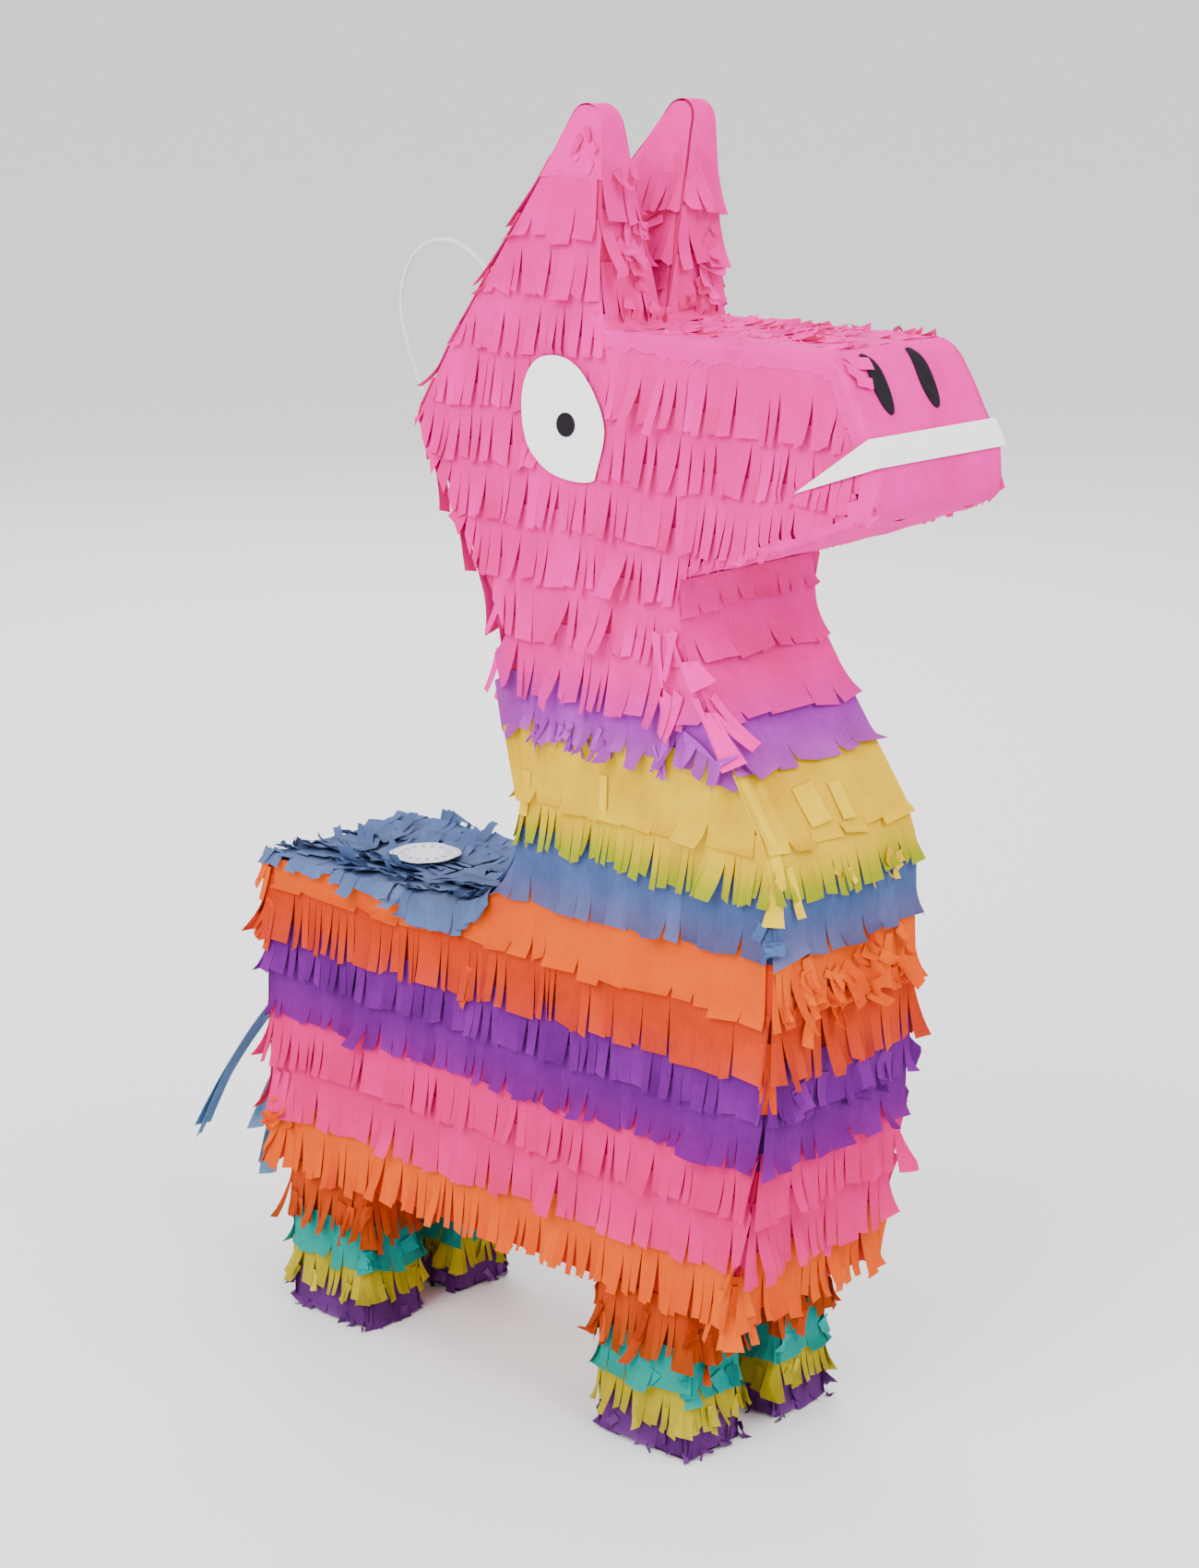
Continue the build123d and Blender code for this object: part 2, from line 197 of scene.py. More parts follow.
cotton = Finish("white_cotton_cord", Base_Color=shade(238, 238, 240), Roughness=0.6)
lay = cotton.node("ShaderNodeTexWave", {"bands_direction": "DIAGONAL"},
                  {"Vector": cotton.place(), "Scale": 420, "Distortion": 1.5, "Detail": 2})
cotton.feed("Base Color", cotton.mix(lay, shade(214, 214, 220), shade(245, 245, 246)))
cotton.feed("Normal", cotton.bump(lay, 0.0003))
loop_curve.materials.append(cotton.material)
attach(cord_loop, "shell")
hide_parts("hanging_loop")


def dress(node, finish):
    """A carried-over CAD part gets its finish in every slot."""
    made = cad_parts[node]
    if not made.data.materials:
        made.data.materials.append(finish.material)
    for slot in made.material_slots:
        slot.material = finish.material


dress("loop_knots", cotton)

# ---- Card shell ---------------------------------------------------------------------------
# The body is folded and glued grey-brown wall card. Tissue hides it everywhere but inside,
# where it shows through the open fill flap.
SIDES = ("right", "left")
CARD_NODES = ["rear_panel", "belly_panel", "chest_panel", "neck_front_panel", "jaw_panel",
              "muzzle_front_panel", "muzzle_top_panel", "nape_panel", "back_of_head_panel",
              "rump_top_panel", "back_curve_panel", "foot_caps", "fill_flap"]
CARD_NODES += [side + "_side_panel" for side in SIDES]
CARD_NODES += [f"{side}_ear_{part}_panel" for side in SIDES for part in ("inner", "front", "back")]
CARD_NODES += [f"{end}_{side}_leg" for end in ("rear", "front") for side in SIDES]

card = Finish("grey_brown_card", Roughness=0.85)
pulp = card.noise(160, 6, 0.7)
flutes = card.node("ShaderNodeTexWave", {}, {"Vector": card.place(), "Scale": 55,
                                             "Distortion": 0.6})
card.feed("Base Color", card.mix(pulp, shade(128, 104, 80), shade(176, 150, 120)))
card.feed("Normal", card.bump(pulp * 0.7 + flutes * 0.3, 0.0004))
for node in CARD_NODES:
    dress(node, card)

# ---- Tissue rows round the neck and body ----------------------------------------------------
# Strips of coloured crepe tissue, cut into fringe along the lower edge and glued on by the
# upper edge from the belly upwards, so that every row's tips hang over the head of the row below.
SKIN_NODES = ["copper_row", "upper_purple_row", "lower_purple_row", "upper_pink_row",
              "lower_pink_row", "lower_orange_row", "upper_orange_row", "blue_neck_row",
              "lower_yellow_row", "upper_yellow_row", "violet_row", "neck_pink_rows",
              "right_head_pink_rows", "left_head_pink_rows", "back_of_head_tissue", "ear_tissue",
              "jaw_tissue", "muzzle_front_tissue", "muzzle_top_tissue", "belly_tissue",
              "rump_top_tissue", "flap_tissue"]
corners, facets = [], []
for node in SKIN_NODES:
    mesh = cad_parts[node].data
    facets += [[len(corners) + i for i in face.vertices] for face in mesh.polygons]
    corners += [v.co.copy() for v in mesh.vertices]
skin = BVHTree.FromPolygons(corners, facets)

rump_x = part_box("rear_panel")[0].x
EAR_TIP_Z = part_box("ear_tissue")[1].z
PROBE_Y = -30 * MM
LEG_TOP = 76 * MM
levels = np.append(np.arange(LEG_TOP, EAR_TIP_Z - 4 * MM, 1 * MM),
                   np.linspace(EAR_TIP_Z - 4 * MM, EAR_TIP_Z - 0.02 * MM, 30))
edge_back, edge_front, edge_half = [], [], []
for z in levels:
    rear = skin.ray_cast(Vector((-0.5, PROBE_Y, z)), Vector((1, 0, 0)))[0]
    fore = skin.ray_cast(Vector((0.5, PROBE_Y, z)), Vector((-1, 0, 0)))[0]
    wall = skin.ray_cast(Vector(((rear.x + fore.x) / 2, -0.5, z)), Vector((0, 1, 0)))[0]
    edge_back.append(rear.x)
    edge_front.append(fore.x)
    edge_half.append(-wall.y)


def back_x(z):
    """The rear edge of the silhouette at a height."""
    return np.interp(z, levels, edge_back)


def front_x(z):
    """The front edge of the silhouette at a height."""
    return np.interp(z, levels, edge_front)


def half_y(z):
    """Half the width between the side walls at a height."""
    return np.interp(z, levels, edge_half)


def lean(edge, z):
    """How far an edge of the silhouette moves in x for each metre up, at a height."""
    step = np.clip((EAR_TIP_Z - z) / 2, 0.05 * MM, 3 * MM)
    return (edge(z + step) - edge(z - step)) / (2 * step)


def on_side(side):
    """The near wall (side -1) or the far wall (side 1): along is x."""
    def place(along, z, lift):
        return np.stack([along, side * (half_y(z) + lift), z], -1)
    return place


def on_front(top, hang=0.35):
    """The chest and neck front below a height: along is y. Where the wall falls away below
    that height, the paper hangs clear of it."""
    def place(along, z, lift):
        slope = lean(front_x, z)
        size = np.sqrt(1 + slope ** 2)
        fall = np.clip(front_x(top) - front_x(z), 0, None) * hang
        return np.stack([front_x(z) + fall + lift / size, along, z - lift * slope / size], -1)
    return place


def on_back(top, hang=0.35):
    """The rump, neck and head from behind."""
    def place(along, z, lift):
        slope = lean(back_x, z)
        size = np.sqrt(1 + slope ** 2)
        fall = np.clip(back_x(z) - back_x(top), 0, None) * hang
        return np.stack([back_x(z) - fall - lift / size, along, z + lift * slope / size], -1)
    return place


def round_corners(place, start, stop, axis, outward=0):
    """Paper that runs past the two upright corners of a wall reaches as far out as it is
    lifted, and folds back if outward is the sign of the way the wall faces. The axis is the
    one along the wall."""
    def fold(along, z, lift):
        inside = np.clip(along, start, stop)
        past = along - inside
        points = place(inside, z, lift)
        points[..., axis] += np.sign(past) * lift * np.clip(np.abs(past) / MM, 0, 1)
        points[..., 1 - axis] -= outward * np.abs(past)
        return points
    return fold


def side_room(along, low, high):
    """The part of a vertical line on the side wall, between two heights, that is on the wall."""
    z = np.arange(low, high, 0.5 * MM)
    on = (back_x(z) <= along) & (along <= front_x(z))
    if not on.any():
        return None
    return z[on][0], z[on][-1]


# The furthest that a row of fringe stands off its wall, in millimetres
HIGHEST = 9.5


class Cutwork:
    """Cut tissue laid on a wall, collected as one sheet of faces."""

    def __init__(self, seed):
        self.draw = np.random.default_rng(seed)
        self.points, self.faces, self.tone, self.under = [], [], [], []

    def grid(self, points, tone, under):
        rows, columns = points.shape[:2]
        start = len(self.points)
        self.points += points.reshape(-1, 3).tolist()
        self.tone += np.broadcast_to(tone, (rows, columns)).ravel().tolist()
        self.under += np.broadcast_to(under, (rows, columns)).ravel().tolist()
        for r in range(rows - 1):
            for c in range(columns - 1):
                at = start + r * columns + c
                self.faces.append((at, at + 1, at + columns + 1, at + columns))

    def row(self, place, span, low, high, width=(4, 7), head=(0.3, 0.5), gap=(0.6, 1.6),
            lift=(0.7, 1.8), ragged=1.5, loose=0.05, sway=1.6, wave=0.6, room=None, rise=0.0,
            through=0.5, splay=3.0, mask=None, broad=(0.15, 1.6), steps=9):
        """One row of fringe: widths, gaps, lifts and jitters are in millimetres, head is the
        uncut share of the row's height, broad is how often a strip is left wide and by how
        much, room trims a line to the wall, and mask presses the paper flat where something
        is glued over it."""
        draw = self.draw
        along = span[0]
        edges = [along]
        while along < span[1] - width[0] * MM:
            wide = draw.uniform(*width) * (broad[1] if draw.random() < broad[0] else 1)
            along = min(along + wide * MM, span[1])
            edges.append(along)
        edges[-1] = span[1]
        centre = (span[0] + span[1]) / 2
        count = len(edges)
        cuts = draw.uniform(*head, count)
        opens = draw.uniform(*gap, count) * np.where(draw.random(count) < 0.3, 0.3, 1) * MM
        opens[[0, -1]] = -2 * MM
        phase, turn = draw.uniform(0, 7, 2)
        ease = np.linspace(0, 1, steps)[:, None]
        for i in range(count - 1):
            left, right = edges[i], edges[i + 1]
            middle = (left + right) / 2
            drift = wave * MM * (math.sin(middle * 60 + phase) + math.sin(middle * 23 + turn))
            foot = low + drift + draw.normal(0, ragged * 0.5) * MM
            tilt = draw.normal(0, 0.6) * MM
            columns = np.array([left, middle, right])
            feet = np.array([foot - tilt, foot, foot + tilt])
            tops = np.full(3, high)
            if room is not None:
                limits = [room(c, low - 2 * MM, high) for c in columns]
                if limits[1] is None or limits[1][1] - limits[1][0] < 3 * MM:
                    continue
                for c, limit in enumerate(limits):
                    while limit is None:
                        columns[c] = (columns[c] + middle) / 2
                        limit = room(columns[c], low - 2 * MM, high)
                    clipped = limit[0] > low
                    feet[c] = limit[0] + draw.uniform(-3, 0.5) * MM if clipped else feet[c]
                    tops[c] = limit[1]
                if (tops - feet).max() < 4 * MM:
                    continue
                feet = np.minimum(feet, tops - 1 * MM)
            feet = np.maximum(feet, 0.5 * MM) if high > 0 else feet
            z = tops + (feet - tops) * ease
            near, far = (np.clip((ease[:, 0] - cut) / (1 - cut), 0, 1)
                         for cut in cuts[i:i + 2])
            free = np.stack([near, (near + far) / 2, far], 1)
            bend = free ** 1.4
            shift = free * [opens[i] / 2, 0, -opens[i + 1] / 2]
            ends = np.clip((abs(middle - centre) * 2 / (span[1] - span[0]) - 0.9) * 10, 0, 1)
            outward = math.copysign(1, middle - centre)
            swing = draw.normal(0, sway * 0.5) + splay * 0.4 * ends * outward
            shift = shift + swing * MM * bend
            wild = draw.random() < loose
            up = draw.uniform(*lift) + splay * ends * draw.uniform(0.2, 1)
            up += draw.uniform(3, 7) if wild else 0
            twist = draw.normal(0, 0.5 + 1.2 * wild)
            curl = draw.uniform(-0.5, 1.5) + (draw.uniform(0, 3) if wild else 0)
            swell = 0.35 * np.sin(columns * 260 + phase) * np.sin(ease * 3)
            raised = 0.35 + rise + 0.9 * ease + swell * ease + (
                bend * up + free ** 4 * curl + bend * twist * np.array([-1, 0, 1]))
            raised = np.clip(raised, 0.3 + rise, HIGHEST) * MM
            at = columns + shift
            if mask is not None:
                raised = raised * mask(at, z) + (1 - mask(at, z)) * 0.5 * MM
            tone = np.clip(draw.normal(0.05, 0.3) * np.maximum(free, 0.25), -0.6, 1)
            under = np.clip(1.2 - (z - feet) / (14 * MM), 0, 1) * through
            self.grid(place(at, z, raised), tone, under)

    def strip(self, place, along, z, angle, long, wide, curl=0.4, twist=0.4, bow=0.0, rise=1.6,
              tone=0.5):
        """A loose strip held at its upper end: it runs off at an angle from straight down, bows
        sideways, curls away from the wall by the end and twists. Angles of curl in radians."""
        t = np.linspace(0, 1, 13)[:, None]
        turn = curl * t ** 1.4
        run = np.cumsum(np.cos(turn), 0) * long / len(t) * MM
        lift = (rise + np.cumsum(np.sin(turn), 0) * long / len(t)) * MM
        half = np.array([-0.5, 0, 0.5]) * wide * MM
        side = half * np.cos(twist * t) + bow * MM * t ** 2
        lift = np.clip(lift + half * np.sin(twist * t), 0.4 * MM, HIGHEST * 1.2 * MM)
        a = math.radians(angle)
        self.grid(place(along + run * math.sin(a) + side * math.cos(a),
                        z - run * math.cos(a) + side * math.sin(a), lift), tone, 0)

    def bits(self, place, along, z, count, long=(4, 9), wide=(2, 5), curl=(0.3, 2.6),
             angle=(-70, 70), rise=(1, 3)):
        """Torn and crumpled bits scattered over part of a wall."""
        draw = self.draw
        for _ in range(count):
            self.strip(place, draw.uniform(*along), draw.uniform(*z), draw.uniform(*angle),
                       draw.uniform(*long), draw.uniform(*wide), draw.uniform(*curl),
                       draw.normal(0, 0.8), draw.normal(0, 1), draw.uniform(*rise),
                       draw.normal(0.1, 0.4))

    def make(self, name, node, finish, body="shell", thick=0.15, backing=True):
        """The sheet gets its thickness and lies on the glued backing, which is the CAD skin. The
        backing takes the deep colour, the tissue in the shade of a fold: painted shade in the gaps.
        """
        mesh = bpy.data.meshes.new(name)
        mesh.from_pydata(self.points, [], self.faces)
        for key, values in (("tone", self.tone), ("under", self.under)):
            mesh.attributes.new(key, "FLOAT", "POINT").data.foreach_set("value", values)
        shape = bmesh.new()
        shape.from_mesh(mesh)
        bmesh.ops.remove_doubles(shape, verts=shape.verts, dist=2e-6)
        shape.to_mesh(mesh)
        shape.free()
        piece = bpy.data.objects.new(name, mesh)
        scene.collection.objects.link(piece)
        if thick:
            layer = piece.modifiers.new("thickness", "SOLIDIFY")
            layer.thickness, layer.offset = thick * MM, 0
            flat = mesh
            piece.data = bpy.data.meshes.new_from_object(
                piece.evaluated_get(bpy.context.evaluated_depsgraph_get()))
            piece.modifiers.clear()
            bpy.data.meshes.remove(flat)
        if backing:
            shape = bmesh.new()
            shape.from_mesh(piece.data)
            fringe = len(shape.verts)
            shape.from_mesh(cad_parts[node].data)
            shape.verts.ensure_lookup_table()
            glued = shape.verts[fringe:]
            bmesh.ops.remove_doubles(shape, verts=glued, dist=2e-6)
            shape.verts.ensure_lookup_table()
            tone = shape.verts.layers.float["tone"]
            under = shape.verts.layers.float["under"]
            # The backing takes the deep colour: painted shade where it shows between the strips
            for vert in shape.verts[fringe:]:
                vert[tone], vert[under] = -1.6, 0
            shape.to_mesh(piece.data)
            shape.free()
        piece.data.name = name
        piece.data.materials.clear()
        piece.data.materials.append(finish.material)
        for face in piece.data.polygons:
            face.material_index = 0
            face.use_smooth = True
        piece.data.set_sharp_from_angle(angle=0.7)
        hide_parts(node)
        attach(piece, body)


def tissue(name, colour, deep, pale, beneath=None):
    """Crepe tissue: its colour, how it looks in the shade of a fold and where a single layer
    catches the light, and the colour that shows through thin tips."""
    paper = Finish(name, Roughness=0.8)
    paper.shader.inputs["Specular IOR Level"].default_value = 0.08
    tone = paper.node("ShaderNodeAttribute", {"attribute_name": "tone"}, {}, out=2)
    under = paper.node("ShaderNodeAttribute", {"attribute_name": "under"}, {}, out=2)
    blotch = paper.noise(38, 3, 0.6)
    fibres = paper.noise(900, 2, 0.5, (1, 1, 0.25))
    level = (tone * 0.5 + 0.5 + (blotch - 0.5) * 0.7 + (fibres - 0.5) * 0.25)
    colours = paper.mix((level * 2).held(), deep, colour)
    colours = paper.mix((level * 2 - 1).held(), colours, pale)
    if beneath is not None:
        colours = paper.mix(under.held(), colours, beneath)
    paper.feed("Base Color", colours)
    creases = paper.noise(150, 4, 0.6, (1, 1, 0.35))
    paper.feed("Normal", paper.bump(creases * 0.8 + fibres * 0.12, 0.0014, 0.55))
    return paper


def rump_mm(x):
    """A distance in millimetres from the back of the rump, as x."""
    return rump_x + x * MM


# The tissue's colour, the same in the shade of a fold, and where one layer catches the light
COLOURS = {
    "orange": (shade(208, 76, 0), shade(190, 34, 0), shade(228, 94, 0)),
    "copper": (shade(182, 48, 6), shade(128, 26, 6), shade(214, 64, 12)),
    "purple": (shade(92, 16, 112), shade(66, 4, 84), shade(122, 32, 140)),
    "body_pink": (shade(208, 0, 104), shade(196, 0, 80), shade(232, 2, 126)),
    "blue": (shade(64, 82, 128), shade(36, 50, 86), shade(90, 112, 164)),
    "yellow": (shade(208, 166, 0), shade(172, 112, 0), shade(232, 198, 0)),
    "lime": (shade(120, 138, 10), shade(80, 100, 10), shade(150, 170, 20)),
    "violet": (shade(146, 40, 160), shade(104, 18, 120), shade(184, 62, 198)),
    "pink": (shade(224, 0, 136), shade(204, 0, 104), shade(248, 4, 168)),
}
# Name, foot and top in millimetres, slot, colour, what shows beneath, side cut, end cut
BODY_ROWS = [
    ("lower_orange_row", 72, 98, "orange_tissue", "orange", "copper",
     dict(width=(3, 6), head=(0.25, 0.45), gap=(0.5, 1.3), lift=(1.5, 3), ragged=2.4),
     dict(width=(4, 8), head=(0.2, 0.5), gap=(0.5, 2), lift=(2, 5), ragged=4, loose=0.2)),
    ("lower_pink_row", 98, 125, "body_pink_tissue", "body_pink", "orange",
     dict(width=(5, 10), head=(0.3, 0.5), gap=(0.5, 1.2), lift=(1.2, 2.6)),
     dict(width=(5, 9), head=(0.3, 0.6), gap=(0.5, 2), lift=(2, 5), ragged=3, loose=0.2)),
    ("upper_pink_row", 125, 149, "body_pink_tissue", "body_pink", "body_pink",
     dict(width=(3.4, 7), head=(0.25, 0.5), gap=(0.5, 2.0), lift=(1.2, 3), broad=(0.2, 2.4)),
     dict(width=(4, 8), head=(0.3, 0.6), gap=(0.6, 2), lift=(2, 4), loose=0.15)),
    ("lower_purple_row", 149, 171, "purple_tissue", "purple", "body_pink",
     dict(width=(4, 10), head=(0.5, 0.85), gap=(0.4, 1.4), lift=(0.8, 2)),
     dict(width=(5, 12), head=(0.6, 0.9), gap=(0.4, 1.4), lift=(1, 3))),
    ("upper_purple_row", 171, 189, "purple_tissue", "purple", "purple",
     dict(width=(4, 8), head=(0.15, 0.4), gap=(0.8, 2), lift=(1, 2.4), broad=(0.2, 2)),
     dict(width=(4, 9), head=(0.4, 0.8), gap=(0.5, 1.5), lift=(1, 3))),
    ("copper_row", 189, 212, "copper_tissue", "copper", "purple",
     dict(width=(3, 6), head=(0.06, 0.22), gap=(0.3, 1.8), lift=(1, 2.6), ragged=2.4,
          broad=(0.25, 3.2)),
     dict(width=(4, 9), head=(0.1, 0.4), gap=(0.6, 2), lift=(1.5, 4), ragged=3, loose=0.12)),
    ("upper_orange_row", 215.5, 243, "orange_tissue", "orange", "copper",
     dict(width=(8, 18), head=(0.7, 0.95), gap=(0.3, 1.2), lift=(0.8, 2)),
     dict(width=(4, 9), head=(0.4, 0.8), gap=(0.6, 2), lift=(1.5, 5), loose=0.25, ragged=3)),
    ("blue_neck_row", 243, 268, "blue_tissue", "blue", "orange",
     dict(width=(7, 16), head=(0.6, 0.9), gap=(0.3, 1.2), lift=(0.8, 2)),
     dict(width=(8, 16), head=(0.6, 0.9), gap=(0.3, 1.2), lift=(1, 3))),
    ("lower_yellow_row", 268, 289, "yellow_tissue", "yellow", "lime",
     dict(width=(3, 6), head=(0.2, 0.45), gap=(0.6, 1.8), lift=(1.2, 3), ragged=3),
     dict(width=(4, 9), head=(0.35, 0.7), gap=(0.5, 1.6), lift=(1.2, 3), ragged=3)),
    ("upper_yellow_row", 289, 318, "yellow_tissue", "yellow", "yellow",
     dict(width=(8, 18), head=(0.75, 0.95), gap=(0.3, 1), lift=(0.8, 2)),
     dict(width=(9, 20), head=(0.75, 0.95), gap=(0.3, 1), lift=(0.8, 2))),
    ("violet_row", 318, 337, "violet_tissue", "violet", "yellow",
     dict(width=(4, 8), head=(0.4, 0.8), gap=(0.8, 2.2), lift=(1, 3.5), ragged=3.5, loose=0.1),
     dict(width=(9, 18), head=(0.75, 0.95), gap=(0.3, 1), lift=(0.8, 2))),
]


def near_wall(along, z, lift):
    """The right side wall: along is measured from the back of the rump."""
    return on_side(-1)(rump_x + along, z, lift)


def chest(along, z, lift):
    """The front of the chest and neck: along is measured from the middle."""
    return on_front(1, 0)(along, z, lift)


def corner(along, z, lift):
    """Round the front corner of the right wall: along is measured from it, to the front."""
    flank = on_side(-1)(front_x(z) + np.minimum(along, 0), z, lift)
    return np.where((along < 0)[..., None], flank,
                    chest(-half_y(z) + np.maximum(along, 0), z, lift))


TAIL_LOW, TAIL_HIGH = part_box("tail_root_strip")


def off_tail(y, z):
    """0 where the strip that holds the tail is pasted over the fringe."""
    out = np.maximum(abs(y) - TAIL_HIGH.y, abs(z - (TAIL_LOW.z + TAIL_HIGH.z) / 2)
                     - (TAIL_HIGH.z - TAIL_LOW.z) / 2)
    return np.clip((out - 1 * MM) / (3 * MM), 0, 1)


# Loose strips: wall, along, height, angle from straight down, length, width, curl, twist
LOOSE = {
    "lower_orange_row": [
        (corner, -6, 92, -10, 28, 4, 0.3, 0.6), (corner, -1, 96, 3, 34, 3.5, 0.3, 1),
        (corner, 2, 96, -5, 33, 4, 0.25, -0.9), (corner, 5, 95, 9, 30, 3, 0.4, 1.4),
        (corner, 9, 94, 4, 32, 4, 0.3, 0.5), (corner, 0, 100, 12, 22, 8, 0.5, 0.3),
        (near_wall, 4, 96, -22, 20, 5, 0.5, 0.8), (near_wall, 9, 104, -35, 16, 7, 0.8, -0.5)],
    "lower_pink_row": [
        (near_wall, 6, 122, -16, 26, 3.5, 0.2, 0.3), (near_wall, 12, 123, -12, 25, 4, 0.2, 0),
        (chest, -34, 124, 12, 28, 3.5, 0.3, 0.5), (chest, -24, 122, -14, 30, 3, 0.3, -0.6),
        (chest, -8, 124, 8, 26, 4, 0.2, 0.4), (chest, 12, 120, -10, 28, 3.5, 0.4, 0.5),
        (chest, 30, 122, 14, 26, 4, 0.3, -0.3), (corner, 0, 120, 6, 28, 3.5, 0.3, 0.4)],
    "upper_purple_row": [
        (chest, -30, 186, 20, 14, 9, 0.5, 0.3), (chest, -12, 188, -14, 16, 8, 0.6, -0.3),
        (chest, 14, 187, 10, 15, 9, 0.5, 0.2), (chest, 32, 186, -18, 14, 8, 0.6, 0.4)],
    "copper_row": [
        (corner, -2, 211, 3, 34, 5, 0.12, 0.4), (near_wall, 3, 210, -24, 25, 4.5, 0.2, 0.3),
        (near_wall, 4, 209, -34, 21, 4, 0.3, 0.6), (near_wall, 5, 208, -12, 27, 4, 0.15, 0),
        (near_wall, 2, 207, -18, 22, 3, 0.25, 0.4), (near_wall, 141, 205, -14, 22, 5, 0.2, 0.4)],
    "upper_orange_row": [
        (near_wall, 1, 228, -26, 17, 4, 0.2, 0.4), (near_wall, 2, 226, -14, 20, 4, 0.2, 0.3),
        (corner, 2, 243, 8, 26, 5, 0.3, 0.5), (corner, 8, 244, -6, 24, 6, 0.4, -0.5),
        (chest, -28, 244, 14, 24, 6, 0.4, 0.6), (chest, 30, 242, -12, 26, 5, 0.3, 0.5)],
    "lower_yellow_row": [
        (corner, 3, 286, -9, 26, 4, 0.3, 0.3), (corner, 9, 285, 10, 24, 4, 0.3, 0.5)],
    "upper_yellow_row": [
        (corner, 2.5, 325, 0, 50, 5.5, 0.02, 0.1), (near_wall, 176, 304, -3, 22, 5, 0.1, 0),
        (near_wall, 222, 310, 2, 22, 4.5, 0.1, 0.1), (chest, -12, 312, 4, 17, 14, 0.15, 0),
        (chest, 8, 310, -3, 16, 8, 0.15, 0)],
    "violet_row": [
        (corner, -22, 334, 66, 24, 5.5, 0.5, 0.7), (corner, -14, 334, -42, 19, 4.5, 0.7, 0.9),
        (corner, -30, 333, -34, 16, 3.5, 0.5, 0.4), (corner, -1, 336, -16, 27, 5, 1.3, 1.4),
        (corner, 3, 337, 8, 24, 4, 0.8, -0.8)],
}
# Torn bits: wall, from and to along it, from and to in height, how many, lengths, widths, curls
# and angles
TORN = {
    "lower_orange_row": [(near_wall, (3, 13), (94, 112), 7, (7, 13), (3, 6), (0.6, 2.4))],
    "upper_orange_row": [(chest, (-36, 42), (216, 243), 34, (8, 17), (3, 6), (0.4, 2.6))],
    "upper_purple_row": [(chest, (-40, 40), (172, 184), 8, (6, 10), (4, 8), (0.3, 1.2), (-40, 40))],
    "lower_yellow_row": [(chest, (-10, 40), (268, 280), 9, (5, 9), (2, 5), (0.3, 1.2), (-50, 50))],
    "blue_neck_row": [(corner, (-4, 4), (250, 264), 5, (6, 10), (4, 6), (0.1, 0.5), (-30, 30))],
    "violet_row": [(near_wall, (166, 262), (320, 330), 26, (7, 12), (1, 2.6), (0.1, 0.8), (-38, 30))],
}
# How much of a row lies under the row above
BURIED = 9 * MM
finishes = {}
for number, (name, foot, top, slot, colour, beneath, side_cut, end_cut) in enumerate(BODY_ROWS):
    low, high = foot * MM, top * MM + BURIED
    middle = (foot + top) / 2 * MM
    through = 0.9 if beneath == "lime" else 0.06
    finishes[name] = tissue(f"{name}_paper", *COLOURS[colour], COLOURS[beneath][0])
    rows = Cutwork(100 + number)
    heights = np.linspace(low, top * MM, 8)
    for side in (-1, 1):
        rows.row(on_side(side), (back_x(heights).min() - 1 * MM, front_x(heights).max() + 1 * MM),
                 low, high, room=side_room, through=through, **side_cut)
    edge = half_y(middle)
    reach = edge + 3 * MM
    rows.row(round_corners(on_front(high), -edge, edge, 1), (-reach, reach), low, high,
             through=through, **end_cut)
    if name == "upper_orange_row":
        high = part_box("rump_top_panel")[1].z
    rows.row(round_corners(on_back(high), -edge, edge, 1), (-reach, reach), low, high,
             through=through, mask=off_tail, **end_cut)
    for wall, along, z, *strip in LOOSE.get(name, ()):
        rows.strip(wall, along * MM, z * MM, *strip)
    for wall, along, z, *bits in TORN.get(name, ()):
        rows.bits(wall, np.array(along) * MM, np.array(z) * MM, *bits)
    rows.make(name + "_fringe", name, finishes[name])

# ---- Pink rows of the neck and head ---------------------------------------------------------
# Hot pink tissue in the same cut rows, two on the neck and seven up each side of the head and
# its ears. Their cuts gape, and the paper glued behind shows in the gaps in its deep pink, a
# painted shade.
PINK_FOOT, PINK_PITCH = 337 * MM, 24.9 * MM
# The muzzle's sheet covers this much of the side, from its front edge back
WRAP = 11 * MM
MUZZLE_LOW, MUZZLE_HIGH, MUZZLE_BACK = 415 * MM, 500 * MM, rump_mm(240)


def closed_curve(points, steps=6):
    """A smooth closed line through points."""
    here = np.array(points, float)
    before, after, beyond = (np.roll(here, shift, 0) for shift in (1, -1, -2))
    t = np.arange(steps)[:, None, None] / steps
    line = here + ((after - before) * t + (2 * before - 5 * here + 4 * after - beyond) * t ** 2
                   + (3 * here - before - 3 * after + beyond) * t ** 3) / 2
    return line.transpose(1, 0, 2).reshape(-1, 2)


def paper_edges(ring):
    """The edges of a paper on the side wall, as lines (normal x, normal z, offset)."""
    lines = []
    for (x0, z0), (x1, z1) in zip(ring, np.roll(ring, -1, 0)):
        size = math.hypot(x1 - x0, z1 - z0)
        nx, nz = (z1 - z0) / size, (x0 - x1) / size
        lines.append((nx, nz, nx * x0 + nz * z0))
    return lines


EYE_ROUND = [(190, 486.3), (177, 484), (169.8, 474.5), (168.4, 461), (172.5, 446.6), (184, 437),
             (198, 433.8), (210.6, 434.6), (213.4, 439), (217.3, 456), (212.6, 469.2), (202, 481.6)]
MOUTH_LOW, MOUTH_HIGH = 456 * MM, 466.5 * MM
eye_outline = closed_curve([(rump_mm(x), z * MM) for x, z in EYE_ROUND])
mouth_corner = (rump_mm(322), 442 * MM)
mouth_side = [mouth_corner, (front_x(MOUTH_LOW), MOUTH_LOW), (front_x(MOUTH_HIGH), MOUTH_HIGH)]
stuck_over = [paper_edges(eye_outline), paper_edges(mouth_side)]


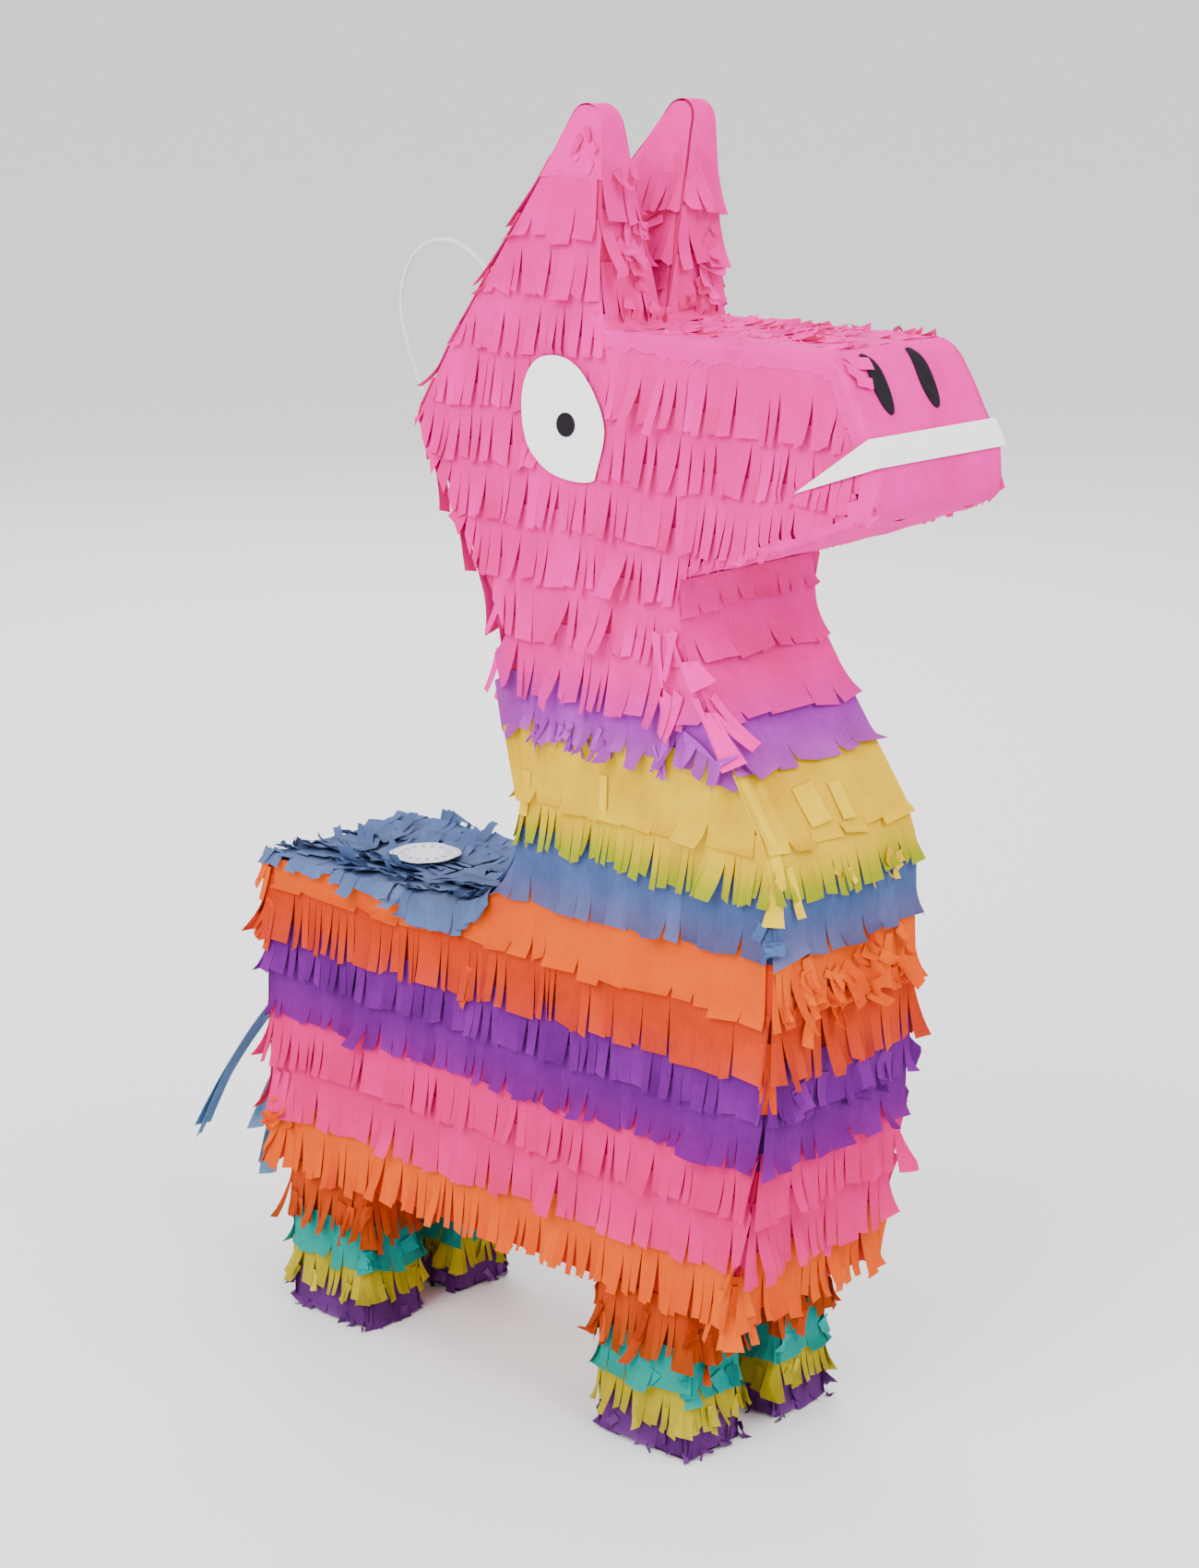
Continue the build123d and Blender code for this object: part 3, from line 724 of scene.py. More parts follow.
def paper_over(x, z):
    """0 where the eye, the mouth band or the muzzle's sheet lies over the fringe."""
    clear = np.ones_like(x)
    for lines in stuck_over:
        out = np.max([nx * x + nz * z - offset for nx, nz, offset in lines], axis=0)
        clear = np.minimum(clear, np.clip((out - 0.6 * MM) / (3 * MM), 0, 1))
    wrapped = (z > MUZZLE_LOW) & (z < MUZZLE_HIGH) & (x > MUZZLE_BACK)
    behind = np.clip((front_x(z) - x - WRAP) / (4 * MM), 0, 1)
    return np.where(wrapped, np.minimum(clear, behind), clear)


pink_paper = tissue("hot_pink_paper", *COLOURS["pink"])
pink_over_violet = tissue("pink_paper_over_violet", *COLOURS["pink"], COLOURS["violet"][0])
neck_rows = Cutwork(200)
for step, (side_cut, end_cut) in enumerate([
        (dict(width=(4, 8), head=(0.25, 0.5), gap=(0.8, 2.6), lift=(1.5, 4.5), ragged=4,
              loose=0.14, sway=3), dict(width=(9, 18), head=(0.6, 0.95), gap=(0.3, 1.2))),
        (dict(width=(4, 8), head=(0.25, 0.5), gap=(0.8, 2.6), loose=0.08, sway=2.4),
         dict(width=(6, 14), head=(0.5, 0.9), gap=(0.4, 1.6)))]):
    low = PINK_FOOT + step * PINK_PITCH
    high = low + PINK_PITCH + BURIED
    middle = low + PINK_PITCH / 2
    through = 0.3 if step == 0 else 0
    for side in (-1, 1):
        neck_rows.row(on_side(side), (back_x(middle) - 1 * MM, front_x(middle) + 1 * MM), low,
                      high, room=side_room, through=through, **side_cut)
    reach = half_y(middle) + 1 * MM
    neck_rows.row(on_front(high), (-reach, reach), low, high, through=through, **end_cut)
    neck_rows.row(on_back(high), (-reach, reach), low, high, through=through, **side_cut)
reach = half_y(390 * MM) + 1 * MM
neck_rows.row(on_front(399 * MM), (-reach, reach), 384 * MM, 399 * MM, width=(6, 14),
              head=(0.3, 0.8), through=0)
for along, z, angle, long, wide, curl in [
        (-3, 353, 4, 31, 4.5, 0.3), (-10, 353, -40, 29, 4.5, 0.35), (-17, 352, -34, 24, 4, 0.4),
        (-23, 350, -16, 22, 3.5, 0.3), (-5, 350, 32, 28, 3.5, 0.4), (2, 352, 22, 27, 4, 0.4),
        (-1, 379, -26, 25, 4, 0.5), (-6, 378, 16, 26, 4.5, 0.4), (-12, 377, -12, 24, 5, 0.3)]:
    neck_rows.strip(corner, along * MM, z * MM, angle, long, wide, curl, 0.6, 0, 2.6, 0.6)
for along, z, angle, long in ((158, 356, -16, 22), (161, 352, -8, 20), (158, 380, -20, 20)):
    neck_rows.strip(near_wall, along * MM, z * MM, angle, long, 4, 0.3, 0.4)
neck_rows.make("neck_pink_fringe", "neck_pink_rows", pink_over_violet)

HEAD_FOOT = PINK_FOOT + 2 * PINK_PITCH
for number, (side, word) in enumerate(((-1, "right"), (1, "left"))):
    rows = Cutwork(210 + number)
    for step in range(7):
        low = HEAD_FOOT + step * PINK_PITCH
        high = min(low + PINK_PITCH + BURIED, EAR_TIP_Z - 1 * MM)
        if step == 6:
            style = dict(width=(8, 16), head=(0.4, 0.8), gap=(0.3, 1.4), lift=(0.8, 2))
        else:
            style = dict(width=(3.6, 7.5), head=(0.25, 0.45), gap=(0.5, 2.8), lift=(1, 2.6),
                         loose=0.04, sway=2.2)
        levels_here = np.linspace(low, low + PINK_PITCH, 8)
        span = (back_x(levels_here).min() - 1 * MM, front_x(levels_here).max() + 1 * MM)
        if low < MUZZLE_HIGH < low + PINK_PITCH:
            span = (span[0], rump_mm(214))
        rows.row(on_side(side), span, low, high, room=side_room, mask=paper_over, **style)
    rows.make(word + "_head_pink_fringe", word + "_head_pink_rows",
              pink_paper)

# ---- Ears -----------------------------------------------------------------------------------
# Each ear is a card wedge with pink tissue on all its faces: three short rows of tabs up the
# front edge, rows on the back, and rows deep in the notch between the two ears.
NOTCH_Z = 498 * MM
ear_levels = levels[levels > 501 * MM]
ear_inside = []
for z in ear_levels:
    hit = skin.ray_cast(Vector(((back_x(z) + front_x(z)) / 2, 0, z)), Vector((0, -1, 0)))[0]
    ear_inside.append(-hit.y)


def inner_y(z):
    """Half the width of the notch between the ears at a height."""
    return np.interp(z, ear_levels, ear_inside)


def ear_room(along, low, high):
    """The part of an upright line on the ear's front or back edge that is clear of the notch."""
    z = np.arange(low, high, 0.5 * MM)
    on = (abs(along) >= inner_y(z) + 0.5 * MM) | (z < NOTCH_Z)
    if not on.any():
        return None
    return z[on][0], z[on][-1]


def in_notch(side):
    """The ear's face towards the other ear: along is x."""
    def place(along, z, lift):
        return np.stack([along, side * (inner_y(z) - np.minimum(lift, inner_y(z) - 0.3 * MM)),
                         z], -1)
    return place


EAR_FOOT, EAR_STRAIGHT = 499 * MM, 501.5 * MM


def on_ear(top, hang=0.35):
    """The ear's front edge, which stands on the flat top of the muzzle."""
    def place(along, z, lift):
        z = np.maximum(z, EAR_FOOT + (z - EAR_FOOT) * 0.1)
        held = np.maximum(z, EAR_STRAIGHT)
        points = on_front(top, hang)(along, held, lift)
        points[..., 2] -= held - z
        return points
    return place


ear_rows = Cutwork(220)
for low, high in ((497.6, 523), (521, 545), (543, 572)):
    reach = half_y((low + high) / 2 * MM) + 0.5 * MM
    for span in ((-reach, -1 * MM), (1 * MM, reach)):
        ear_rows.row(on_ear(high * MM), span, low * MM, high * MM + BURIED / 2, width=(5, 9),
                     head=(0.2, 0.6), gap=(0.3, 1.6), lift=(1, 4), ragged=3, room=ear_room,
                     loose=0.15)

TIP_LOW, TIP_HIGH = 561 * MM, EAR_TIP_Z - 0.02 * MM


def smooth_tip(place, edges):
    """An uncut piece pasted over an ear's tip: edges gives its two sides at a height."""
    z = TIP_HIGH - (TIP_HIGH - TIP_LOW) * np.linspace(1, 0, 20) ** 2
    grid = np.stack([np.linspace(*edges(at), 9) for at in z])
    heights = np.repeat(z[:, None], 9, 1)
    heights[0] += ear_rows.draw.normal(0, 0.8, 9) * MM
    rise = 0.7 + 0.25 * np.sin(grid * 300 + heights * 160)
    ear_rows.grid(place(grid, heights, rise * MM), 0.35, 0)


for side in (-1, 1):
    smooth_tip(on_side(side), lambda z: (back_x(z) - 1.0 * MM, front_x(z) + 1.0 * MM))
    smooth_tip(in_notch(side), lambda z: (back_x(z), front_x(z)))
    for face in (on_front(TIP_HIGH, 0), on_back(TIP_HIGH, 0)):
        smooth_tip(face, lambda z: (side * inner_y(z), side * (half_y(z) + 1.0 * MM)))
for side in (-1, 1):
    for low in (502, 524, 546):
        at = np.linspace(low, low + 22, 6) * MM
        ear_rows.row(in_notch(side), (back_x(at).min(), front_x(at).max()), low * MM,
                     (low + 28) * MM, width=(4, 8), head=(0.25, 0.6), gap=(0.5, 2.2),
                     lift=(1, 3), room=side_room, splay=0.5)
ear_front = on_ear(TIP_HIGH, 0)
ear_rows.bits(on_side(-1), (rump_mm(190), rump_mm(206)), (566 * MM, 584 * MM), 6, (4, 8), (2, 4),
              (0.1, 0.5), (-60, 60), (1.0, 1.6))
ear_rows.bits(ear_front, (-36 * MM, -14 * MM), (512 * MM, 566 * MM), 12, (6, 13), (3, 6),
              (0.3, 1.8), (-35, 35), (2, 3))
ear_rows.bits(ear_front, (14 * MM, 34 * MM), (503 * MM, 540 * MM), 12, (5, 11), (3, 6),
              (0.3, 1.6), (-60, 60), (2, 3))
ear_rows.bits(in_notch(1), (rump_mm(185), rump_mm(209)), (505 * MM, 550 * MM), 14, (8, 16),
              (3, 5), (0.2, 0.8), (-70, 70), (1, 3))
ear_rows.strip(ear_front, -13 * MM, 508 * MM, 58, 20, 5, 0.35, 0.5, -2, 3.0, 0.6)
ear_rows.make("ear_fringe", "ear_tissue", pink_paper)

head_back = Cutwork(225)
for step in range(7):
    low = HEAD_FOOT + step * PINK_PITCH
    high = low + PINK_PITCH + BURIED
    reach = half_y(low + PINK_PITCH / 2) + 1 * MM
    head_back.row(on_back(high), (-reach, reach), low, high, width=(4, 8), head=(0.3, 0.6),
                  gap=(0.4, 1.8), lift=(1, 3.2), ragged=2.5, room=ear_room, loose=0.08)
head_back.make("back_of_head_fringe", "back_of_head_tissue", pink_paper)

# ---- Smooth sheets on the muzzle and jaw ------------------------------------------------------
# Uncut pink tissue pasted over the front of the muzzle, under the jaw and along the top of the
# head, its torn edges folded a little way on to the sides and crinkled by the paste.


OUTSIDE = 80 * MM


def outline(centre, start, end, count):
    """Points and outward directions round part of the silhouette, seen from a centre."""
    found = []
    for turn in np.radians(np.linspace(start, end, count)):
        way = Vector((math.cos(turn), 0, math.sin(turn)))
        hit, normal = skin.ray_cast(Vector((centre[0], PROBE_Y, centre[1])) + way * OUTSIDE,
                                    -way)[:2]
        found.append((hit.x, hit.z, normal.x, normal.z))
    return np.array(found)


def upright(start, end, height, up):
    """The same for a run of the silhouette that faces straight up or down."""
    found = []
    for x in np.linspace(start, end, 120):
        hit, normal = skin.ray_cast(Vector((x, PROBE_Y, height)), Vector((0, 0, -up)))[:2]
        found.append((hit.x, hit.z, normal.x, normal.z))
    return np.array(found)


def even(points, step):
    """The same run of points, respaced evenly."""
    gaps = np.hypot(*np.diff(points[:, :2], axis=0).T)
    run = np.concatenate([[0], np.cumsum(gaps)])
    at = np.linspace(0, run[-1], max(int(run[-1] / step), 2))
    made = np.stack([np.interp(at, run, points[:, c]) for c in range(4)], 1)
    made[:, 2:] /= np.hypot(made[:, 2], made[:, 3])[:, None]
    return made


def wrapped_sheet(work, points, fold, lift, crinkle, ragged):
    """A sheet over part of the silhouette, from side to side and folded down both sides. A
    share of 1 is the edge of the side wall, and more than 1 is folded down on to it."""
    draw = work.draw
    reach = half_y(points[:, 1])
    folds = np.linspace(0, 1, 5)[1:]
    shares = np.concatenate([-1 - folds[::-1], np.linspace(-1, 1, 25), 1 + folds])
    rows = len(points)
    edge = {s: fold * (0.55 + 0.45 * np.convolve(draw.random(rows + 4), np.ones(3) / 3,
                                                "same")[2:-2] * 1.6)
            + draw.normal(0, ragged * 0.35, rows) for s in (-1, 1)}
    waves = draw.uniform(0, 7, 6)
    tone = draw.normal(0.15, 0.1, 3)[-1]
    grid = np.zeros((rows, len(shares), 3))
    for r, (x, z, nx, nz) in enumerate(points):
        for c, share in enumerate(shares):
            y = np.clip(share, -1, 1) * reach[r]
            rise = lift + crinkle * (math.sin(y * 190 + waves[0] + r * 0.35)
                                     * math.sin(r * 0.55 + waves[1] + y * 60)
                                     + 0.5 * math.sin(y * 420 + waves[2] - r * 0.8)) * 0.5
            if abs(share) <= 1:
                grid[r, c] = (x + nx * rise * MM, y, z + nz * rise * MM)
            else:
                s = math.copysign(1, share)
                down = (abs(share) - 1) * edge[s][r] * MM
                out = reach[r] + (rise * 0.8 + 0.2) * MM
                grid[r, c] = (x + nx * (0.6 * rise * MM - down), s * out,
                              z + nz * (0.6 * rise * MM - down))
    work.grid(grid, tone, 0)


muzzle_pink = tissue("smooth_pink_paper", shade(228, 0, 146), shade(160, 0, 92),
                     shade(246, 10, 168))
muzzle_centre = (rump_mm(330), 466 * MM)
muzzle = Cutwork(230)
muzzle_run = even(outline(muzzle_centre, -58, 90, 160), 3 * MM)
wrapped_sheet(muzzle, muzzle_run, 9, 1.0, 0.35, 1.6)
snout = on_front(1, 0)
for y, z, angle, long, wide in ((-35, 493.6, 84, 13, 3.6), (-36, 488, 76, 9.5, 4),
                                (-38, 493, 56, 9, 4)):
    muzzle.strip(snout, y * MM, z * MM, angle, long, wide, 0.06, 0.1, 0, 2.6, 0.4)
muzzle.make("muzzle_front_sheet", "muzzle_front_tissue", muzzle_pink)

jaw = Cutwork(231)
jaw_run = even(upright(rump_mm(262), rump_mm(353), 399.5 * MM, -1), 3 * MM)
wrapped_sheet(jaw, jaw_run, 5, 0.9, 0.9, 2.0)
jaw.make("jaw_sheet", "jaw_tissue", muzzle_pink)

head_top = Cutwork(232)
top_run = even(upright(rump_mm(212.6), rump_mm(331), 0.52, 1), 4 * MM)
wrapped_sheet(head_top, top_run, 9, 1.1, 0.5, 2.2)


def on_top(along_x, out, lift):
    """The flat top of the muzzle, its rows hanging towards the far side."""
    edge = half_y(495 * MM) + 0.5 * MM
    over = np.clip(out - edge, 0, None)
    return np.stack([along_x, np.minimum(out, edge) + lift * (over > 0),
                     497.8 * MM + lift * (over <= 0) - over], -1)


def over_top(along, down, lift):
    """The same with the sign that rows need, whose feet are lower than their heads."""
    return on_top(along, -down, lift)


for out in (-26, -8, 10, 28):
    head_top.row(over_top, (rump_mm(214), rump_mm(328)), -(out + 14) * MM, -(out - 8) * MM,
                 width=(5, 14), head=(0.3, 0.8), gap=(0.4, 2.4), lift=(0, 0.2), ragged=9,
                 loose=0, wave=3)
head_top.bits(over_top, (rump_mm(216), rump_mm(326)), (-30 * MM, 30 * MM), 80, (6, 14), (1.5, 5),
              (0.05, 0.4), (25, 85), (1, 1.6))
head_top.bits(over_top, (rump_mm(216), rump_mm(326)), (-30 * MM, 36 * MM), 40, (5, 11), (1.5, 4),
              (0.05, 0.4), (-85, -25), (1, 1.6))
head_top.bits(over_top, (rump_mm(225), rump_mm(326)), (-34 * MM, -26 * MM), 6, (8, 12), (3, 5),
              (0.3, 0.7), (-50, 70), (1.2, 1.6))
head_top.make("muzzle_top_sheet", "muzzle_top_tissue", muzzle_pink)

# ---- Belly ------------------------------------------------------------------------------------
# Plain orange tissue pasted flat under the body between the legs, all in the deep orange of
# the backing: painted shade on the underside.
belly = Cutwork(240)
belly.make("belly_sheet", "belly_tissue", finishes["lower_orange_row"], thick=0)

# ---- Rump top and fill flap ---------------------------------------------------------------------
# Blue tissue in short torn rows that point out to both edges of the rump and hang a little over
# them. The rows over the card flap are cut free along three sides and lift with it.
top_levels = np.arange(0, 172, 1.0)
top_heights = [skin.ray_cast(Vector((rump_mm(x), PROBE_Y, 0.34)), Vector((0, 0, -1)))[0].z
               for x in top_levels]
EDGE_Y = 48.0 * MM


def rump_z(x):
    """The height of the rump's top at x."""
    return np.interp(x, rump_x + top_levels * MM, top_heights)


def on_rump(side):
    """The top of the rump: rows hang towards one side, and past its edge they fold down."""
    def place(along, out, lift):
        out = -out
        edge = EDGE_Y + 0.3 * MM
        over = np.clip(out - edge, 0, None)
        slope = np.clip((rump_z(along + 2 * MM) - rump_z(along - 2 * MM)) / (4 * MM), 0, 3)
        size = np.sqrt(1 + slope ** 2)
        fold = np.clip(over / (1.5 * MM), 0, 1)
        raised = np.maximum(lift / size, 0.8 * MM) * (1 - fold)
        return np.stack([along - lift * slope / size,
                         side * (np.minimum(out, edge) + (lift + 0.8 * MM) * fold),
                         rump_z(along) + raised - over], -1)
    return place


flap_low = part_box("flap_tissue")[0]
CLEAR = 0.7 * MM


def off_flap(along, low, high):
    """Shell rows keep out of the cut-out in the rump tissue."""
    if flap_low.x - 1.2 * MM < along < rump_mm(88.6) and high > flap_low.y - CLEAR:
        high = flap_low.y - CLEAR
    return (low, high) if high - low > 3 * MM else None


def on_flap(along, low, high):
    """The flap's own rows keep inside its edges."""
    if not flap_low.x < along < rump_mm(87.6):
        return None
    low = max(low, flap_low.y + CLEAR)
    return (low, high) if high - low > 3 * MM else None


def overhang(x):
    """How far the blue paper hangs down the side, from the rear to the neck."""
    return np.interp(x, [rump_mm(v) for v in (0, 60, 92, 96, 130, 160, 170)],
                     [1.5, 2.5, 5, 11, 12, 7, 5]) * MM


def off_sticker(x, out):
    """0 where the fringe lies flat: under the round sticker and along the flap's hinge."""
    round_it = np.hypot(x - rump_mm(60), out) - 18.5 * MM
    hinge = np.maximum(abs(x - rump_mm(88)), abs(out) - 24 * MM)
    return np.clip(round_it / (4 * MM), 0, 1) * np.clip((hinge - 1.5 * MM) / (7 * MM), 0, 1)


# What shows through the tips is the blue beneath, given in its pale colour where one layer catches
# the light: a painted highlight on the tips
rump_blue = tissue("rump_blue_paper", shade(67, 82, 114), shade(36, 50, 76), shade(92, 108, 150),
                   COLOURS["blue"][2])
rump = Cutwork(250)
flap_rows = Cutwork(251)
style = dict(width=(4, 11), head=(0.2, 0.7), gap=(0.3, 1.8), lift=(0.6, 2.4), ragged=5,
             loose=0.08, sway=4, wave=2, mask=off_sticker)
for side in (-1, 1):
    for start in np.arange(-1.2, 152, 6.0):
        hang = overhang(rump_mm(start))
        rump.row(on_rump(side), (rump_mm(start), rump_mm(start + 6)), -EDGE_Y - hang,
                 -EDGE_Y + 16 * MM, room=off_flap, width=(3, 6), head=(0.6, 0.95),
                 gap=(0.1, 0.8), lift=(0.5, 1.4), ragged=2, splay=0, steps=24, rise=0.8)
    for low in (-37, -27, -17, -7):
        rump.row(on_rump(side), (rump_mm(-1.6), rump_mm(158)), (low - 3) * MM, (low + 13) * MM,
                 room=off_flap, rise=0.5, **style)
        if low > -30:
            flap_rows.row(on_rump(side), (flap_low.x, rump_mm(87.5)), (low - 2) * MM,
                          (low + 13) * MM, room=on_flap, rise=0.3, **style)
for x, out, angle, long, wide, curl in [
        (12, 22, -20, 11, 9, 0.9), (58, 34, 24, 12, 9, 0.5), (100, 38, -12, 10, 8, 0.4),
        (6, 42, -30, 10, 5, 1.2), (126, 30, 30, 11, 6, 0.6), (84, 40, 10, 12, 7, 0.3)]:
    rump.strip(on_rump(-1), rump_mm(x), -out * MM, angle, long, wide, curl, 0.2, 0, 2.2, 0.7)
rump.bits(on_rump(1), (rump_mm(3), rump_mm(150)), (-47 * MM, -38 * MM), 16, (6, 10), (3, 7),
          (0.7, 1.7), (-40, 40), (1, 2))
rump.bits(on_rump(-1), (rump_mm(2), rump_mm(14)), (-46 * MM, -10 * MM), 8, (6, 10), (3, 6),
          (0.7, 1.7), (-70, 0), (1, 2))
rump.bits(on_rump(-1), (rump_mm(72), rump_mm(150)), (-44 * MM, -26 * MM), 22, (6, 12), (2, 5),
          (0.2, 0.8), (-40, 70), (1.5, 3))
rump.row(on_back(0.3, 0), (-EDGE_Y, EDGE_Y), rump_z(rump_mm(5)) - 9 * MM, rump_z(rump_mm(5)),
         width=(3, 8), head=(0.1, 0.5), lift=(1, 5), ragged=4, sway=4, loose=0.2, rise=0.6)
rump.make("rump_top_fringe", "rump_top_tissue", rump_blue)
flap_rows.make("flap_fringe", "flap_tissue", rump_blue, body="flap")

# ---- Round sticker --------------------------------------------------------------------------------
# A printed paper disc that marks where the body is filled, stuck over the middle of the flap.
STICKER_RINGS, STICKER_SPOKES = 14, 72
# How far the fringe beneath holds the disc off the flap, in millimetres
PROUD = 2.6
low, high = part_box("fill_sticker")
centre, radius = (low + high) / 2, (high.x - low.x) / 2
shape = bmesh.new()
hub = shape.verts.new((centre.x, centre.y, high.z + PROUD * MM))
rings = []
for ring in range(1, STICKER_RINGS + 1):
    out = radius * ring / STICKER_RINGS
    rings.append([])
    for spoke in range(STICKER_SPOKES):
        turn = 2 * math.pi * spoke / STICKER_SPOKES
        x, y = centre.x + out * math.cos(turn), centre.y + out * math.sin(turn)
        wave = (0.25 * math.sin(turn * 3 + 1) + 0.15 * math.sin(turn * 7)) * (out / radius) ** 2
        rings[-1].append(shape.verts.new((x, y, high.z + (PROUD + wave) * MM)))
for spoke in range(STICKER_SPOKES):
    after = (spoke + 1) % STICKER_SPOKES
    shape.faces.new((hub, rings[0][spoke], rings[0][after]))
    for inner, outer in zip(rings, rings[1:]):
        shape.faces.new((inner[spoke], outer[spoke], outer[after], inner[after]))
disc_mesh = bpy.data.meshes.new("round_sticker")
shape.to_mesh(disc_mesh)
shape.free()
disc = bpy.data.objects.new("round_sticker", disc_mesh)
scene.collection.objects.link(disc)
layer = disc.modifiers.new("thickness", "SOLIDIFY")
layer.thickness = 0.2 * MM
printed = Finish("printed_white_sticker", Roughness=0.5)
spot = printed.node("ShaderNodeTexCoord", {}, {}, out=3)
apart = printed.node("ShaderNodeVectorMath", {"operation": "SUBTRACT"},
                     {0: spot, 1: (centre.x, centre.y, high.z)})
flat = printed.node("ShaderNodeVectorMath", {"operation": "MULTIPLY"}, {0: apart, 1: (1, 1, 0)})
out = printed.node("ShaderNodeVectorMath", {"operation": "LENGTH"}, {0: flat}, out=1)
across = printed.node("ShaderNodeSeparateXYZ", {}, {0: flat})
along = printed.node("ShaderNodeSeparateXYZ", {}, {0: flat}, out=1)
dashes = (along.math("ARCTAN2", along, across) * 16).math("SINE") * 3
DOT_RING, DOT_HALF = 0.66 * radius, 1.9 * MM
in_ring = out.math("LESS_THAN", (out - DOT_RING).math("ABSOLUTE"), DOT_HALF)
in_line = out.math("LESS_THAN", (out - 0.9 * radius).math("ABSOLUTE"), 0.3 * MM)
ring = (in_ring * dashes.held() + in_line).held()
fleck = (printed.noise(420, 3, 0.6) - 0.5) * 0.5 + 0.5
white = printed.mix(fleck.held(), shade(190, 192, 208), shade(226, 228, 240))
printed.feed("Base Color", printed.mix(ring * 0.8, white, shade(88, 92, 112)))
printed.feed("Normal", printed.bump(fleck, 0.0003))
disc_mesh.materials.append(printed.material)
for face in disc_mesh.polygons:
    face.use_smooth = True
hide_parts("fill_sticker")
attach(disc, "flap")

# ---- Legs ---------------------------------------------------------------------------------------
# Four card tubes with four rows of tissue on every face, laid from the foot up: purple, olive,
# turquoise and copper, with the copper strips hanging over the turquoise tabs.


def on_leg(low, high, face):
    """One face of a leg: 0 and 1 face the two sides, 2 and 3 the rump and the muzzle."""
    def place(along, z, lift):
        z = np.maximum(z, 0.5 * MM)
        if face < 2:
            y = (low.y, high.y)[face] + (-1, 1)[face] * lift
            return np.stack([along, y, z], -1)
        return np.stack([(low.x, high.x)[face - 2] + (-1, 1)[face - 2] * lift, along, z], -1)
    return place


# Name, foot and top in millimetres, slot, colours, what shows beneath and how much, cut, and
# torn bits: how many, from and to in height, lengths, widths, curls and angle
LEG_ROWS = [
    ("copper_leg_rows", 46, 76, "copper_tissue",
     (shade(166, 52, 4), shade(104, 26, 4), shade(196, 70, 12)), shade(84, 62, 8), 0.35,
     dict(width=(2.6, 5), head=(0.1, 0.4), gap=(0.8, 2.2), lift=(1, 3.5), ragged=5, loose=0.1),
     [(5, 50, 72, (12, 17), (3, 5), (0.2, 0.8), 35)]),
    ("turquoise_leg_rows", 29, 48, "turquoise_tissue",
     (shade(0, 128, 122), shade(0, 88, 82), shade(24, 152, 146)), shade(40, 128, 96), 0.25,
     dict(width=(7, 12), head=(0.3, 0.8), gap=(0.3, 1.8), lift=(1, 3), ragged=3, loose=0.1),
     [(2, 38, 44, (8, 11), (6, 9), (0.3, 0.8), 30)]),
    ("olive_leg_rows", 14.5, 30, "olive_tissue",
     (shade(158, 142, 14), shade(104, 88, 4), shade(186, 172, 44)), shade(120, 104, 30), 0.2,
     dict(width=(3, 5.5), head=(0.15, 0.4), gap=(0.5, 1.6), lift=(1.2, 3.2), ragged=2.5,
          loose=0.08),
     [(3, 20, 27, (9, 14), (3, 5), (0.3, 0.8), 35)]),
    ("purple_foot_rows", 1.2, 16, "purple_tissue",
     (shade(80, 34, 96), shade(52, 14, 64), shade(112, 62, 128)), shade(80, 34, 96), 0,
     dict(width=(9, 15), head=(0.75, 0.97), gap=(0.0, 0.5), lift=(0.3, 1.2), ragged=0.6,
          loose=0, splay=0.2),
     [(2, 5, 14, (6, 10), (3, 6), (0.4, 1.1), 50), (4, 2, 5, (4, 8), (1, 2), (0.5, 1.2), 80)]),
]
for number, (name, foot, top, slot, colours, beneath, through, style, torn) in enumerate(LEG_ROWS):
    paper = tissue(name + "_paper", *colours, beneath)
    rows = Cutwork(260 + number)
    for end in ("rear", "front"):
        for side in SIDES:
            low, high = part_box(f"{end}_{side}_leg")
            low, high = low - Vector((1, 1, 0)) * MM, high + Vector((1, 1, 0)) * MM
            for face in range(4):
                span = (low.x, high.x) if face < 2 else (low.y, high.y)
                wall = round_corners(on_leg(low, high, face), *span, face // 2, (-1, 1)[face % 2])
                rows.row(wall, (span[0] - 2 * MM, span[1] + 2 * MM), foot * MM,
                         min((top + 5) * MM, LEG_TOP), through=through,
                         **{"splay": 1.5, **style})
                for count, under_z, over_z, long, wide, curl, way in torn:
                    rows.bits(wall, span, (under_z * MM, over_z * MM), count, long, wide, curl,
                              (-way, way), (1.5, 3))
    rows.make(name.replace("rows", "fringe"), name, paper)

# ---- Eyes, mouth and nostrils ---------------------------------------------------------------------
# Shapes cut from plain white and black paper, stuck over the finished tissue.


def cut_paper(name, node, finish, lift):
    """A copy of the CAD paper, moved out to lie on top of the fringe it is stuck to."""
    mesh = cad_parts[node].data.copy()
    mesh.name = name
    shape = bmesh.new()
    shape.from_mesh(mesh)
    bmesh.ops.remove_doubles(shape, verts=shape.verts, dist=2e-6)
    for vert in shape.verts:
        z, edge = vert.co.z, half_y(vert.co.z)
        on_face = vert.co.x > front_x(z) - 0.3 * MM
        if abs(vert.co.y) > edge - 0.3 * MM:
            vert.co.y += math.copysign(lift * MM, vert.co.y)
        if on_face:
            slope = lean(front_x, z)
            size = math.sqrt(1 + slope ** 2)
            vert.co.x += lift * MM / size
            vert.co.z -= lift * MM * slope / size
    shape.to_mesh(mesh)
    shape.free()
    piece = bpy.data.objects.new(name, mesh)
    scene.collection.objects.link(piece)
    mesh.materials.clear()
    mesh.materials.append(finish.material)
    mesh.set_sharp_from_angle(angle=0.5)
    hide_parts(node)
    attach(piece, "shell")


